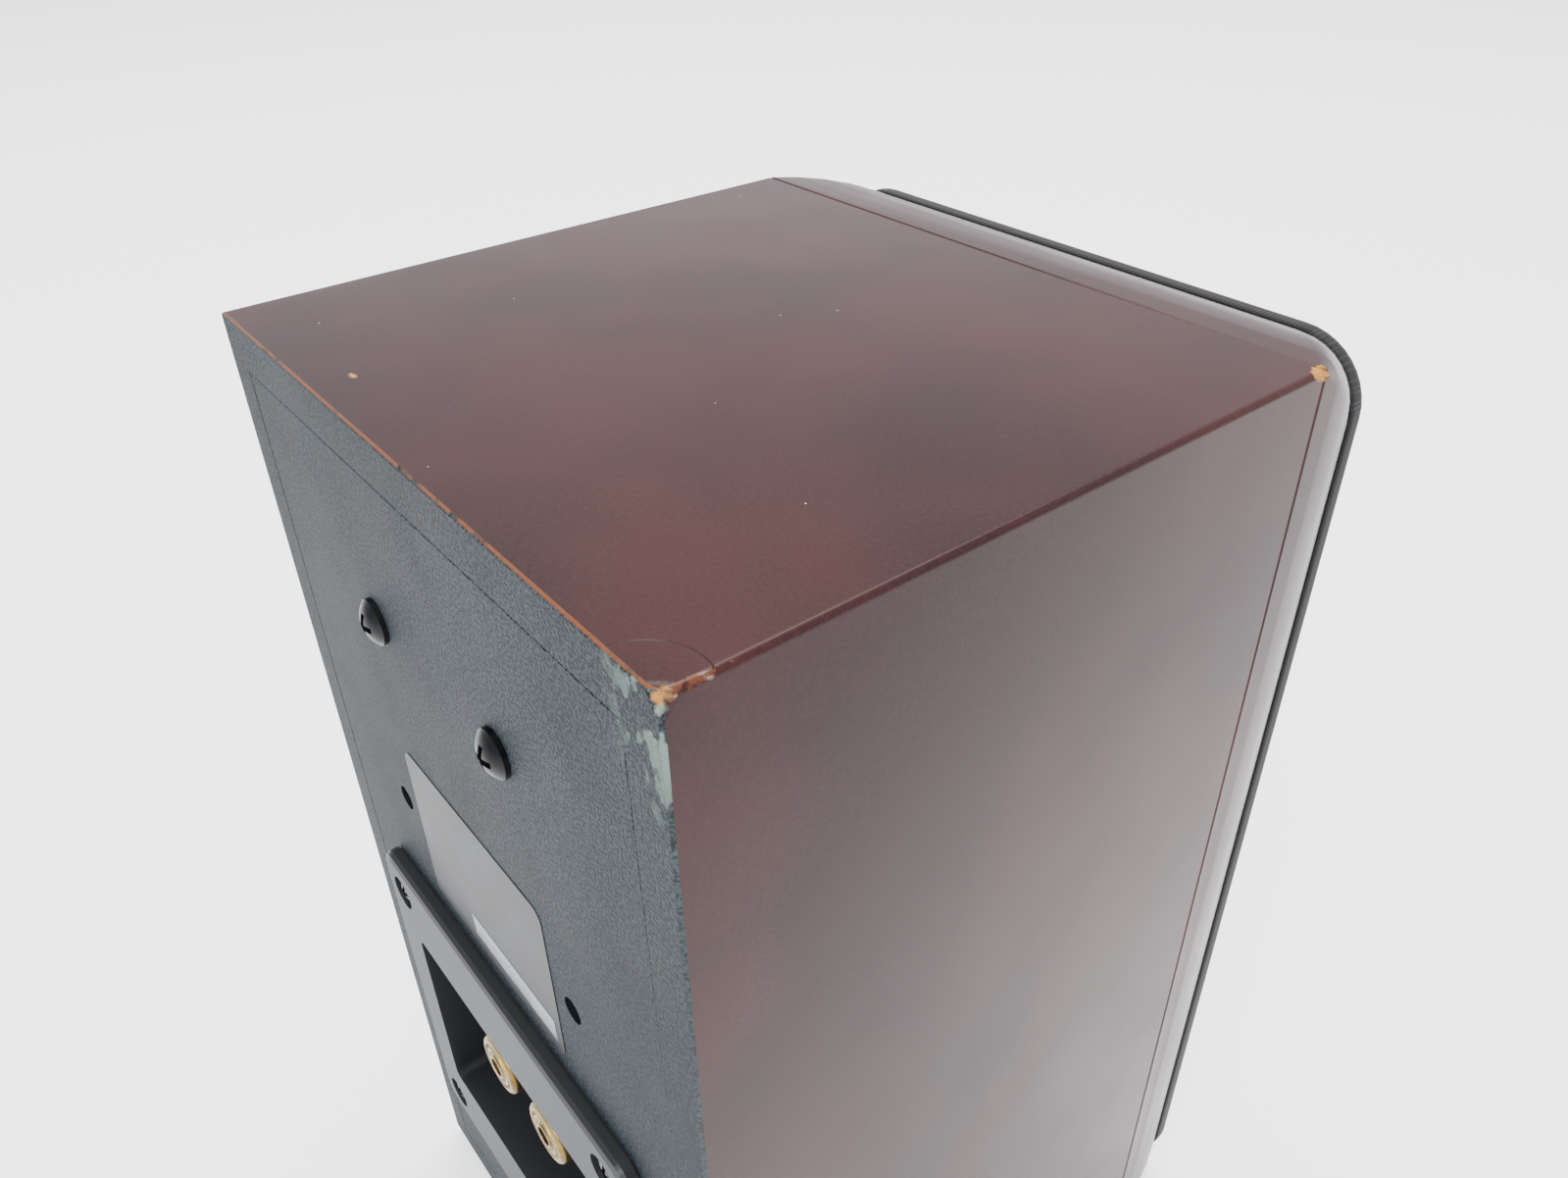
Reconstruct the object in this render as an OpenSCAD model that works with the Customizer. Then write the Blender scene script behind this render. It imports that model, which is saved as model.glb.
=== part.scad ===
// Two-way bookshelf speaker: mitred cabinet, rounded front baffle, pull-off grille,
// woofer, tweeter, front port, recessed terminal cup with screw-down binding posts.
// Front faces -Y, back faces +Y, +Z is up. The origin is under the middle of the feet.

/* [Cabinet] */
// Width of the cabinet
cab_w = 130; // [124:1:170]
// Height of the cabinet, without its feet
cab_h = 232; // [224:1:300]
// Depth of the four side boards, from the back to the baffle joint
body_d = 114.5; // [104:0.5:160]
// Thickness of the top, bottom and side boards
board_t = 8; // [6:0.5:9]
// Thickness of the back panel
back_t = 9; // [7:0.5:12]
// Rounding of the long outer edges of the boards
edge_r = 1; // [0.5:0.1:2]
// Bevel of the rear edges of the boards
rear_bevel = 0.5; // [0.2:0.1:1]
// Depth of the V joint line round the back panel and behind the baffle
joint_v = 0.5; // [0.2:0.1:0.8]

/* [Baffle] */
// Thickness of the front baffle
baffle_t = 19; // [17:0.5:25]
// How far the baffle's sides curve in from the joint to its front face
baffle_inset = 5.3; // [3:0.1:6]
// Corner radius of the baffle's front face
baffle_corner_r = 14; // [8:0.5:18]

/* [Grille] */
// Thickness of the grille, frame and cloth together
grille_t = 5; // [4.5:0.1:8]
// Gap from the cabinet's outline to the grille's outline
grille_inset = 3.4; // [2:0.1:6]
// Corner radius of the grille's outline
grille_corner_r = 12.3; // [8:0.1:18]
// Thickness of the stretched cloth on the grille's face
cloth_t = 0.8; // [0.5:0.1:1.2]
// Thickness of the cloth wrapped round the grille's sides
cloth_wrap_t = 0.5; // [0.3:0.1:0.8]
// Width of the grille frame's rim
rim_w = 8.5; // [7:0.5:10]
// Height of the bar across the grille frame
bar_h = 6; // [4:0.5:8]
// Distance of a grille peg from the two sides of the grille next to it
peg_edge = 11; // [10.5:0.5:13]
// Radius of a grille peg
peg_r = 2.5; // [2:0.1:2.6]
// Length of a grille peg
peg_l = 7; // [5:0.5:9]

/* [Woofer] */
// Height of the woofer's centre above the cabinet's underside
woofer_z = 94; // [92:1:98]
// Outer radius of the woofer's frame
woofer_r = 52; // [50:0.5:52.5]
// Outer radius of the cone
cone_r = 35; // [34:0.5:35.5]
// Radius of the voice coil's former, outside
coil_r = 10.9; // [10:0.1:11.5]
// Radius of the woofer's magnet
magnet_r = 35; // [32:0.5:38]
// Thickness of the woofer's magnet
magnet_t = 14; // [10:0.5:18]
// Thickness of the woofer frame's front flange
woofer_flange_t = 4; // [3.5:0.1:4.5]

/* [Tweeter] */
// Height of the tweeter's centre above the cabinet's underside
tweeter_z = 186; // [184:1:188]
// Radius of the tweeter's faceplate
tweeter_r = 33; // [30:0.5:34]
// Thickness of the tweeter's faceplate
tweeter_plate_t = 3; // [2.5:0.1:3.5]
// Radius of the tweeter's dome
dome_r = 9.4; // [9:0.1:10]
// Radius of the tweeter's magnet
tweeter_magnet_r = 24; // [20:0.5:25]

/* [Port] */
// Height of the port's centre above the cabinet's underside
port_z = 23; // [22.5:0.5:24]
// Inner radius of the port tube
port_r = 10; // [8:0.5:10.5]
// Wall of the port tube
port_wall = 2; // [1.5:0.5:2]
// Length of the port tube, from the baffle's front face
port_l = 62; // [40:1:64]

/* [Terminal cup] */
// Width of the cup's flange
flange_w = 91.5; // [88:0.5:100]
// Height of the cup's flange
flange_h = 83; // [80:0.5:90]
// Distance from the cabinet's top to the flange's top
flange_drop = 107; // [104:0.5:110]
// Thickness of the flange
flange_t = 2.9; // [2.5:0.1:3.5]
// Thickness of the foam gasket under the flange
gasket_t = 0.5; // [0.3:0.1:1]
// Corner radius of the flange
flange_r = 4; // [3:0.5:6]
// Width of the cup's opening
cup_w = 70; // [64:0.5:74]
// Height of the cup's opening
cup_h = 46; // [40:0.5:50]
// Depth of the cup's floor below the back of the cabinet
cup_d = 18; // [16:0.5:24]
// Wall of the cup
cup_wall = 2; // [1.5:0.5:3]
// Distance from the flange's edge to a corner screw
cup_screw_edge = 7.5; // [6.5:0.5:9]

/* [Binding posts] */
// Distance between the two posts
post_gap = 19; // [19:0.1:19.2]
// Height of the posts above the middle of the flange
post_rise = 7; // [4:0.5:8]
// Radius of a post's stud
stud_r = 3; // [2.9:0.1:3.2]
// Radius of the plug socket in a stud
socket_r = 2; // [1.9:0.05:2.1]
// Depth of the plug socket
socket_d = 10.5; // [9:0.5:11]
// Length of a stud outside the cup's floor
stud_l = 20; // [19:0.5:21]
// Radius of a knob
knob_r = 6.5; // [6:0.1:7]
// Travel of a knob from closed to open
knob_travel = 2.8; // [2:0.1:3]

/* [Wall bracket fixings] */
// Distance from the cabinet's top to the upper pair
upper_drop = 38; // [34:1:44]
// Distance between the upper pair
upper_gap = 40; // [30:1:50]
// Distance from the cabinet's top to the lower pair
lower_drop = 84; // [80:1:88]
// Distance between the lower pair
lower_gap = 60; // [54:1:70]
// Inner radius of a threaded insert
insert_bore_r = 2.1; // [1.9:0.1:2.3]

/* [Label] */
// Width of the rating label
label_w = 48; // [40:1:50]
// Height of the rating label
label_h = 35.5; // [30:0.5:36]
// Distance from the cabinet's top to the label's top
label_drop = 67.5; // [66:0.5:70]
// Thickness of the label
label_t = 0.15; // [0.1:0.05:0.3]

/* [Feet] */
// Height of the rubber feet
foot_h = 2; // [1.5:0.5:5]
// Radius of a rubber foot
foot_r = 7; // [5:0.5:9]
// Distance of a foot's centre from the cabinet's sides
foot_edge = 14; // [12:1:20]

/* [Fits] */
// Gap all round a part that drops into a recess
recess_gap = 0.3; // [0.2:0.05:0.5]
// Radial gap of a running fit
running_gap = 0.08; // [0.05:0.01:0.1]
// Gap between faces that part when a joint moves
face_gap = 0.05; // [0.03:0.01:0.1]

/* [Hidden] */
$fn = 64;
hull_fn = 32;
sliver = 0.01;
reach = 400;

// Places along Y, from the back to the front
flange_proud = flange_t + gasket_t;
total_d = grille_t + baffle_t + body_d + flange_proud;
y_back = total_d / 2 - flange_proud;
y_joint = y_back - body_d;
y_front = y_joint - baffle_t;
y_grille = y_front - grille_t;
y_inside = y_back - back_t;
y_cup_floor = y_back - cup_d;

// Places along Z
z_top = foot_h + cab_h;
z_mid = foot_h + cab_h / 2;
z_floor = foot_h + board_t;
z_woofer = foot_h + woofer_z;
z_tweeter = foot_h + tweeter_z;
z_port = foot_h + port_z;
z_flange = z_top - flange_drop - flange_h / 2;
z_post = z_flange + post_rise;
z_upper = z_top - upper_drop;
z_lower = z_top - lower_drop;
z_label = z_top - label_drop - label_h / 2;

// Sizes inside the drivers, all measured back from the baffle's front face
woofer_lip_r = woofer_r - 6.5;
woofer_shelf_r = woofer_lip_r - 3.5;
woofer_screw_r = woofer_r - 3.25;
woofer_shelf_z = 2.6;
basket_wall = 1.6;
woofer_hole_r = woofer_shelf_r + 2 * basket_wall + 0.4;
basket_ledge_z = 24.6;
basket_ledge_r = 28.5;
basket_foot_r = 33;
basket_floor_z = 31.5;
basket_hole_r = 24;
top_plate_t = 4;
top_plate_r = magnet_r - 2;
magnet_z = basket_floor_z + top_plate_t;
pole_plate_z = magnet_z + magnet_t;
pole_plate_t = 5;
coil_gap = 0.4;
coil_wall = 0.8;
pole_r = coil_r - coil_wall - coil_gap;
cone_neck_z = 19;
cone_t = 0.8;
cone_rim = 1.6;
cap_r = 15;
cap_rise = 5;
cap_t = 0.6;
cap_lift = 0.35;
tweeter_throat_r = 13;
tweeter_top_t = 3;
tweeter_magnet_t = 9;
tweeter_pole_t = 3;
tweeter_coil_wall = 0.3;
dome_seat = 0.4;
dome_rise = 3.6;
dome_skin = 0.35;
tweeter_hole_r = tweeter_magnet_r + 1.5;
tweeter_screw_r = tweeter_r - 5;
port_flare_r = port_r + 5;
port_flare_t = 2;
driver_screw_r = 1.5;
driver_screw_l = 12;
driver_head_r = 2.8;
driver_head_h = 1.8;
pilot_r = driver_screw_r + 0.1;

// Grille
grille_w = cab_w - 2 * grille_inset;
grille_h = cab_h - 2 * grille_inset;
frame_t = grille_t - cloth_t;
frame_w = grille_w - 2 * cloth_wrap_t;
frame_h = grille_h - 2 * cloth_wrap_t;
frame_step = 1.8;
gusset_r = 22;
bar_z = (z_woofer + woofer_r + z_tweeter - tweeter_r) / 2;
peg_x = grille_w / 2 - peg_edge;
peg_z = grille_h / 2 - peg_edge;
socket_wall = 1.4;
grommet_r = peg_r + running_gap + socket_wall;
grommet_d = peg_l + 2;

// Terminal cup and posts, lengths measured out from the cup's floor
cup_screw_x = flange_w / 2 - cup_screw_edge;
cup_screw_z = flange_h / 2 - cup_screw_edge;
cup_opening_r = 2;
cup_box_w = cup_w + 2 * cup_wall;
cup_box_h = cup_h + 2 * cup_wall;
cup_screw_l = 6;
cup_screw_head_r = 3.4;
cup_screw_head_h = 1.6;
cup_screw_sink = 1.8;
collar_t = 2.5;
collar_r = 6;
collar_lip = 0.5;
stud_flange_t = 3.5;
stud_tail = 10;
stud_bevel = 0.5;
lug_t = 0.6;
nut_t = 4;
nut_r = 5;
washer_t = 0.8;
washer_r = 6;
stud_shoulder = collar_t + stud_flange_t;
washer_z = stud_shoulder + face_gap;
knob_z = washer_z + washer_t + face_gap;
knob_end = stud_l - 0.3;
wire_hole_r = (knob_travel - 0.3) / 2;
wire_hole_z = stud_shoulder + wire_hole_r + 0.35;
flute_count = 16;
flute_r = 0.7;
flute_out = 0.25;

// Wall bracket fixings
insert_mouth = 2;
insert_mouth_r = 2.4;
insert_r = 3.5;
bracket_head_r = 4;
bracket_head_h = 2.6;
bracket_screw_l = 7;

// Label
stripe_w = 29;
stripe_h = 5;
stripe_drop = 27.5;
stripe_t = 0.1;
stripe_edge = 2;
label_r = 2.5;

// Crossover, on the cabinet's floor
board_w = 74;
board_l = 54;
board_thick = 1.6;
board_gap = 4.5;
board_y = y_inside - board_gap - board_l / 2;
standoff_h = 5;
standoff_r = 3;
standoff_inset = 3.5;
board_screw_r = 1.4;
board_screw_l = 5;
board_head_r = 2.6;
board_head_h = 1.6;
z_board = z_floor + standoff_h;
z_parts = z_board + board_thick;
lead_r = 0.8;
lead_pitch = 3;
y_lead = board_y - board_l / 2 + 3.5;
wire_sides = 8;
wire_steps = 5;
tag_w = 12;
tag_t = 4;
woofer_tag_x = max(magnet_r, basket_foot_r) + lead_r + 1.2;

lacquer = "#5d3a38";
slate = "#5b666a";
black = "#1c1d1f";
gold = "#c6ad78";
steel = "#9a9da0";

// ---------- shared shapes ----------

// A flat shape drawn in X and Z, given thickness from y0 to y1
module along_y(y0, y1) {
  translate([0, y1, 0]) rotate([90, 0, 0]) linear_extrude(y1 - y0) children();
}

// A rectangle with round corners, centred on the origin
module rounded_rect(w, h, r) {
  union() {
    square([w - 2 * r, h], center = true);
    square([w, h - 2 * r], center = true);
    for (x = [-1, 1], y = [-1, 1])
      translate([x * (w / 2 - r), y * (h / 2 - r)]) circle(r);
  }
}

// Children face the front: local +Z points to -Y, local +Y stays up
module facing_front(x, z) {
  translate([x, y_front, z]) rotate([90, 0, 0]) children();
}

// Children face the back from a plane at y: local +Z points to +Y
module facing_back(x, y, z) {
  translate([x, y, z]) rotate([-90, 0, 0]) children();
}

// A ring, from z0 to z1
module ring(outer, inner, z0, z1) {
  translate([0, 0, z0]) linear_extrude(z1 - z0) difference() {
    circle(outer);
    circle(inner);
  }
}

// A thin domed cap of the given rim radius, rise and skin; its rim sits at z = base
module shallow_dome(radius, rise, skin, base) {
  ball = (radius * radius + rise * rise) / (2 * rise);
  sweep = asin(radius / ball);
  middle = base + rise - ball;
  rotate_extrude() polygon(concat(
    [for (a = [0 : sweep / 10 : sweep]) [ball * sin(a), middle + ball * cos(a)]],
    [for (a = [sweep : -sweep / 10 : 0]) [(ball - skin) * sin(a), middle + (ball - skin) * cos(a)]]
  ));
}

// A screw with a domed head that has a cross recess; the head sits on z = 0
module cross_screw(head_r, head_h, shank_r, shank_l) {
  dome_ball = (head_r * head_r + head_h * head_h) / (2 * head_h) * 1.25;
  slot_w = head_r * 0.28;
  slot_l = head_r * 1.1;
  difference() {
    union() {
      intersection() {
        cylinder(h = head_h, r = head_r);
        translate([0, 0, head_h - dome_ball]) sphere(dome_ball);
      }
      translate([0, 0, -shank_l]) cylinder(h = shank_l + sliver, r = shank_r);
    }
    for (turn = [0, 90])
      rotate(turn) translate([0, 0, head_h]) cube([slot_l, slot_w, head_h], center = true);
  }
}

// A point on the smooth curve through a list of points, u from 0 to the last index
function curve_point(p, u) =
  let (
    last = len(p) - 1,
    i = min(floor(u), last - 1),
    t = u - i,
    a = i > 0 ? p[i - 1] : 2 * p[0] - p[1],
    b = p[i],
    c = p[i + 1],
    d = i + 2 <= last ? p[i + 2] : 2 * p[last] - p[last - 1]
  )
  0.5 * (
    2 * b + (c - a) * t + (2 * a - 5 * b + 4 * c - d) * t * t
    + (3 * b - a - 3 * c + d) * t * t * t
  );

function unit(v) = v / norm(v);

// A ring of points round the curve at u, square to its direction
function wire_ring(p, u, du) =
  let (
    here = curve_point(p, u),
    along = unit(curve_point(p, min(u + du, len(p) - 1)) - curve_point(p, max(u - du, 0))),
    across = unit(cross(along, [1, 0.3, 0])),
    up = cross(along, across)
  )
  [for (k = [0 : wire_sides - 1])
    here + lead_r * (cos(k * 360 / wire_sides) * across + sin(k * 360 / wire_sides) * up)];

// One insulated wire along a smooth curve through its points
module wire(p) {
  rings = (len(p) - 1) * wire_steps;
  vertices = [for (i = [0 : rings]) each wire_ring(p, i / wire_steps, 0.02)];
  sides = [for (i = [0 : rings - 1], k = [0 : wire_sides - 1])
    let (a = i * wire_sides + k, b = i * wire_sides + (k + 1) % wire_sides)
    [a, b, b + wire_sides, a + wire_sides]];
  start = [for (k = [wire_sides - 1 : -1 : 0]) k];
  end = [for (k = [0 : wire_sides - 1]) rings * wire_sides + k];
  polyhedron(points = vertices, faces = concat(sides, [start], [end]));
}

// Two wires side by side: apart along Y on the way, and along the tag where they run in to it
module wire_pair(p, tag_side) {
  for (side = [-1, 1])
    wire([for (i = [0 : len(p) - 1])
      p[i] + side * lead_pitch / 2 * (i < len(p) - 2 ? [0, 1, 0] : tag_side)]);
}

// ---------- cabinet ----------

// One mitred board; turned about the middle of the cabinet
module cabinet_board(length, rise, turn) {
  translate([0, 0, z_mid]) rotate([0, turn, 0]) difference() {
    along_y(y_joint, y_back) intersection() {
      rounded_rect(length, 2 * rise, edge_r);
      polygon([
        [-length / 2, rise],
        [length / 2, rise],
        [length / 2 - board_t, rise - board_t],
        [-length / 2 + board_t, rise - board_t]
      ]);
    }
    translate([0, y_back, rise]) rotate([45, 0, 0])
      cube([reach, rear_bevel * sqrt(2), rear_bevel * sqrt(2)], center = true);
    for (side = [-1, 1])
      translate([side * length / 2, y_back, 0]) rotate([0, 0, 45])
        cube([rear_bevel * sqrt(2), rear_bevel * sqrt(2), reach], center = true);
  }
}

module top_panel() {
  color(lacquer) cabinet_board(cab_w, cab_h / 2, 0);
}

module bottom_panel() {
  color(lacquer) cabinet_board(cab_w, cab_h / 2, 180);
}

module left_side_panel() {
  color(lacquer) cabinet_board(cab_h, cab_w / 2, -90);
}

module right_side_panel() {
  color(lacquer) cabinet_board(cab_h, cab_w / 2, 90);
}

// Inset between the boards, with a V line round its rear face
module back_panel() {
  panel_w = cab_w - 2 * board_t;
  panel_h = cab_h - 2 * board_t;
  color(slate) difference() {
    translate([0, 0, z_mid]) along_y(y_inside, y_back)
      square([panel_w, panel_h], center = true);
    for (side = [-1, 1]) {
      translate([side * panel_w / 2, y_back, z_mid]) rotate([0, 0, 45])
        cube([joint_v, joint_v, reach], center = true);
      translate([0, y_back, z_mid + side * panel_h / 2]) rotate([45, 0, 0])
        cube([reach, joint_v, joint_v], center = true);
    }
    translate([0, 0, z_flange]) along_y(y_inside - 1, y_back + 1)
      square([cup_box_w + 2 * recess_gap, cup_box_h + 2 * recess_gap], center = true);
    for (side = [-1, 1]) {
      insert_hole(side * upper_gap / 2, z_upper);
      insert_hole(side * lower_gap / 2, z_lower);
      for (up = [-1, 1])
        facing_back(side * cup_screw_x, y_back - cup_screw_l - 1, z_flange + up * cup_screw_z)
          cylinder(h = cup_screw_l + 2, r = pilot_r);
    }
  }
}

// The stepped hole for a threaded insert pressed in from inside
module insert_hole(x, z) {
  facing_back(x, y_inside - 1, z) cylinder(h = back_t + 2, r = insert_mouth_r);
  facing_back(x, y_inside - 1, z) cylinder(h = back_t - insert_mouth + 1, r = insert_r);
}

// The front board: its sides curve in towards its face, and its corners get rounder
module front_baffle() {
  color(lacquer) difference() {
    baffle_blank();
    facing_front(0, z_woofer) {
      translate([0, 0, -woofer_flange_t]) cylinder(h = reach, r = woofer_r + recess_gap);
      translate([0, 0, -baffle_t - 1]) cylinder(h = baffle_t + 2, r = woofer_hole_r);
      for (turn = [45 : 90 : 315]) pilot_hole(turn, woofer_screw_r, woofer_flange_t);
    }
    facing_front(0, z_tweeter) {
      translate([0, 0, -tweeter_plate_t]) cylinder(h = reach, r = tweeter_r + recess_gap);
      translate([0, 0, -baffle_t - 1]) cylinder(h = baffle_t + 2, r = tweeter_hole_r);
      for (turn = [45 : 90 : 315]) pilot_hole(turn, tweeter_screw_r, tweeter_plate_t);
    }
    facing_front(0, z_port) {
      translate([0, 0, -port_flare_t]) cylinder(h = reach, r = port_flare_r + recess_gap);
      translate([0, 0, -baffle_t - 1]) cylinder(h = baffle_t + 2, r = port_r + port_wall);
    }
    for (x = [-1, 1], z = [-1, 1])
      facing_front(x * peg_x, z_mid + z * peg_z)
        translate([0, 0, -grommet_d]) cylinder(h = grommet_d + 1, r = grommet_r);
  }
}

module pilot_hole(turn, radius, depth) {
  rotate(turn) translate([radius, 0, -depth - driver_screw_l])
    cylinder(h = driver_screw_l + 1, r = pilot_r);
}

// Thin slices from the joint to the face, on a quarter of an ellipse
module baffle_blank() {
  joint_r = edge_r;
  v_depth = 0.8;
  hull() {
    baffle_slice(0, joint_v, joint_r);
    for (a = [0 : 15 : 90]) {
      run = v_depth + (baffle_t - v_depth) * sin(a);
      baffle_slice(run, baffle_inset * (1 - cos(a)), joint_r + (baffle_corner_r - joint_r) * sin(a));
    }
  }
}

module baffle_slice(run, inset, corner) {
  front = min(run, baffle_t - sliver);
  translate([0, 0, z_mid]) along_y(y_joint - front - sliver, y_joint - front)
    rounded_rect(cab_w - 2 * inset, cab_h - 2 * inset, corner, $fn = hull_fn);
}

module rubber_feet() {
  foot_y = [y_back - foot_edge, y_joint + foot_edge];
  color(black) for (x = [-1, 1], y = foot_y)
    translate([x * (cab_w / 2 - foot_edge), y, 0]) cylinder(h = foot_h, r = foot_r);
}

// ---------- wall bracket fixings and label ----------

module threaded_insert(x, z) {
  facing_back(x, y_inside, z) ring(insert_r, insert_bore_r, 0, back_t - insert_mouth);
}

module upper_bracket_inserts() {
  color(gold) for (side = [-1, 1]) threaded_insert(side * upper_gap / 2, z_upper);
}

module lower_bracket_inserts() {
  color(gold) for (side = [-1, 1]) threaded_insert(side * lower_gap / 2, z_lower);
}

module upper_bracket_screws() {
  color(black) for (side = [-1, 1])
    facing_back(side * upper_gap / 2, y_back, z_upper)
      cross_screw(bracket_head_r, bracket_head_h, insert_bore_r - running_gap, bracket_screw_l);
}

module rating_label() {
  color("#8b979b") translate([0, 0, z_label]) along_y(y_back, y_back + label_t)
    rounded_rect(label_w, label_h, label_r);
}

module label_stripe() {
  x_stripe = -label_w / 2 + stripe_edge + stripe_w / 2;
  z_stripe = z_label + label_h / 2 - stripe_drop - stripe_h / 2;
  color("#c3cfd4") translate([x_stripe, 0, z_stripe])
    along_y(y_back + label_t, y_back + label_t + stripe_t) square([stripe_w, stripe_h], center = true);
}

// ---------- terminal cup ----------

// A flange with a soft edge, and a box behind it that holds the posts
module terminal_cup() {
  soft = 1.2;
  y_seat = y_back + gasket_t;
  color(black) difference() {
    union() {
      hull() for (k = [[0, 0], [flange_t - soft, 0], [flange_t - soft / 3, soft / 4], [flange_t, soft]])
        translate([0, 0, z_flange])
          along_y(y_seat + max(k[0] - sliver, 0), y_seat + max(k[0], sliver))
            rounded_rect(flange_w - 2 * k[1], flange_h - 2 * k[1], flange_r, $fn = hull_fn);
      translate([0, 0, z_flange]) along_y(y_cup_floor - cup_wall, y_seat + sliver)
        rounded_rect(cup_box_w, cup_box_h, cup_opening_r + cup_wall);
    }
    translate([0, 0, z_flange]) along_y(y_cup_floor, y_back + reach)
      rounded_rect(cup_w, cup_h, cup_opening_r);
    for (side = [-1, 1]) {
      facing_back(side * post_gap / 2, y_cup_floor - cup_wall - 1, z_post)
        cylinder(h = cup_wall + 2, r = stud_r + running_gap);
      for (up = [-1, 1])
        facing_back(side * cup_screw_x, y_back, z_flange + up * cup_screw_z) {
          cylinder(h = reach, r = pilot_r);
          translate([0, 0, flange_proud - cup_screw_sink])
            cylinder(h = reach, r = cup_screw_head_r + recess_gap);
        }
    }
  }
}

module terminal_cup_gasket() {
  gasket_inset = 0.6;
  color("#111213") translate([0, 0, z_flange]) along_y(y_back, y_back + gasket_t) difference() {
    rounded_rect(flange_w - 2 * gasket_inset, flange_h - 2 * gasket_inset, flange_r);
    square([cup_box_w + recess_gap, cup_box_h + recess_gap], center = true);
    for (x = [-1, 1], z = [-1, 1])
      translate([x * cup_screw_x, z * cup_screw_z]) circle(pilot_r + recess_gap);
  }
}

module terminal_cup_screws() {
  y_head = y_back + flange_proud - cup_screw_sink;
  color(black) for (x = [-1, 1], z = [-1, 1])
    facing_back(x * cup_screw_x, y_head, z_flange + z * cup_screw_z)
      cross_screw(cup_screw_head_r, cup_screw_head_h, driver_screw_r, cup_screw_l);
}

// ---------- binding posts ----------

module at_post(side) {
  facing_back(side * post_gap / 2, y_cup_floor, z_post) children();
}

module post_stud(side) {
  color(gold) at_post(side) difference() {
    union() {
      translate([0, 0, -stud_tail]) cylinder(h = stud_tail + stud_l - stud_bevel, r = stud_r);
      translate([0, 0, stud_l - stud_bevel])
        cylinder(h = stud_bevel, r1 = stud_r, r2 = stud_r - stud_bevel);
      translate([0, 0, collar_t]) cylinder(h = stud_flange_t, r = collar_r);
    }
    translate([0, 0, stud_l - socket_d]) cylinder(h = socket_d + 1, r = socket_r);
    translate([0, 0, wire_hole_z]) rotate([90, 0, 0])
      cylinder(h = 4 * stud_r, r = wire_hole_r, center = true);
  }
}

module positive_post_stud() {
  post_stud(-1);
}

module negative_post_stud() {
  post_stud(1);
}

module positive_post_collar() {
  color("#a3201f") at_post(-1) ring(collar_r + collar_lip, stud_r + running_gap, 0, collar_t);
}

module negative_post_collar() {
  color(black) at_post(1) ring(collar_r + collar_lip, stud_r + running_gap, 0, collar_t);
}

module solder_lugs() {
  z_lug = -cup_wall - lug_t;
  tail_w = 5;
  tail_l = 11;
  color(steel) for (side = [-1, 1]) at_post(side) translate([0, 0, z_lug]) linear_extrude(lug_t)
    difference() {
      union() {
        circle(nut_r);
        translate([-tail_w / 2, 0]) square([tail_w, tail_l]);
      }
      circle(stud_r + running_gap);
    }
}

module post_nuts() {
  z_nut = -cup_wall - lug_t - nut_t;
  color(steel) for (side = [-1, 1]) at_post(side) translate([0, 0, z_nut]) linear_extrude(nut_t)
    difference() {
      circle(nut_r, $fn = 6);
      circle(stud_r + running_gap / 2, $fn = 64);
    }
}

module clamp_washer(side) {
  color(gold) at_post(side) ring(washer_r, stud_r + running_gap, washer_z, washer_z + washer_t);
}

module positive_clamp_washer() {
  clamp_washer(-1);
}

module negative_clamp_washer() {
  clamp_washer(1);
}

// A fluted barrel with a smooth round rim and a ringed end face
module post_knob(side) {
  rim = 1.1;
  bevel = 0.5;
  bore = stud_r + running_gap;
  groove_in = 4.2;
  groove_out = 5;
  flute_l = knob_end - knob_z - 4;
  color(gold) at_post(side) difference() {
    rotate_extrude() polygon(concat(
      [[bore, knob_z], [knob_r - bevel, knob_z], [knob_r, knob_z + bevel]],
      [for (a = [0 : 15 : 90]) [knob_r - rim + rim * cos(a), knob_end - rim + rim * sin(a)]],
      [[groove_out, knob_end], [groove_out - bevel / 2, knob_end - bevel]],
      [[groove_in + bevel / 2, knob_end - bevel], [groove_in, knob_end]],
      [[bore + bevel, knob_end], [bore, knob_end - bevel]]
    ));
    for (k = [0 : flute_count - 1])
      rotate(k * 360 / flute_count) translate([knob_r + flute_out, 0, knob_z - 1])
        cylinder(h = flute_l + 1, r = flute_r);
  }
}

module positive_post_knob() {
  post_knob(-1);
}

module negative_post_knob() {
  post_knob(1);
}

// ---------- crossover ----------

module at_board(x, y) {
  translate([x, board_y + y, z_parts]) children();
}

module board_corners() {
  x_corner = board_w / 2 - standoff_inset;
  y_corner = board_l / 2 - standoff_inset;
  for (x = [-1, 1], y = [-1, 1]) translate([x * x_corner, board_y + y * y_corner, 0]) children();
}

module crossover_board() {
  color("#2f5a3a") difference() {
    translate([-board_w / 2, board_y - board_l / 2, z_board]) cube([board_w, board_l, board_thick]);
    board_corners() translate([0, 0, z_board - 1])
      cylinder(h = board_thick + 2, r = board_screw_r + recess_gap);
  }
}

module board_standoffs() {
  color("ivory") board_corners() translate([0, 0, z_floor])
    ring(standoff_r, board_screw_r + running_gap, 0, standoff_h);
}

module board_screws() {
  color(steel) board_corners() translate([0, 0, z_parts])
    cross_screw(board_head_r, board_head_h, board_screw_r, board_screw_l);
}

module coil(outer, inner, height) {
  color("#b0632f") ring(outer, inner, 0, height);
}

module woofer_inductor() {
  at_board(19, -6) coil(12, 5, 14);
}

module tweeter_inductor() {
  at_board(-21, -6) coil(9, 4, 10);
}

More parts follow.
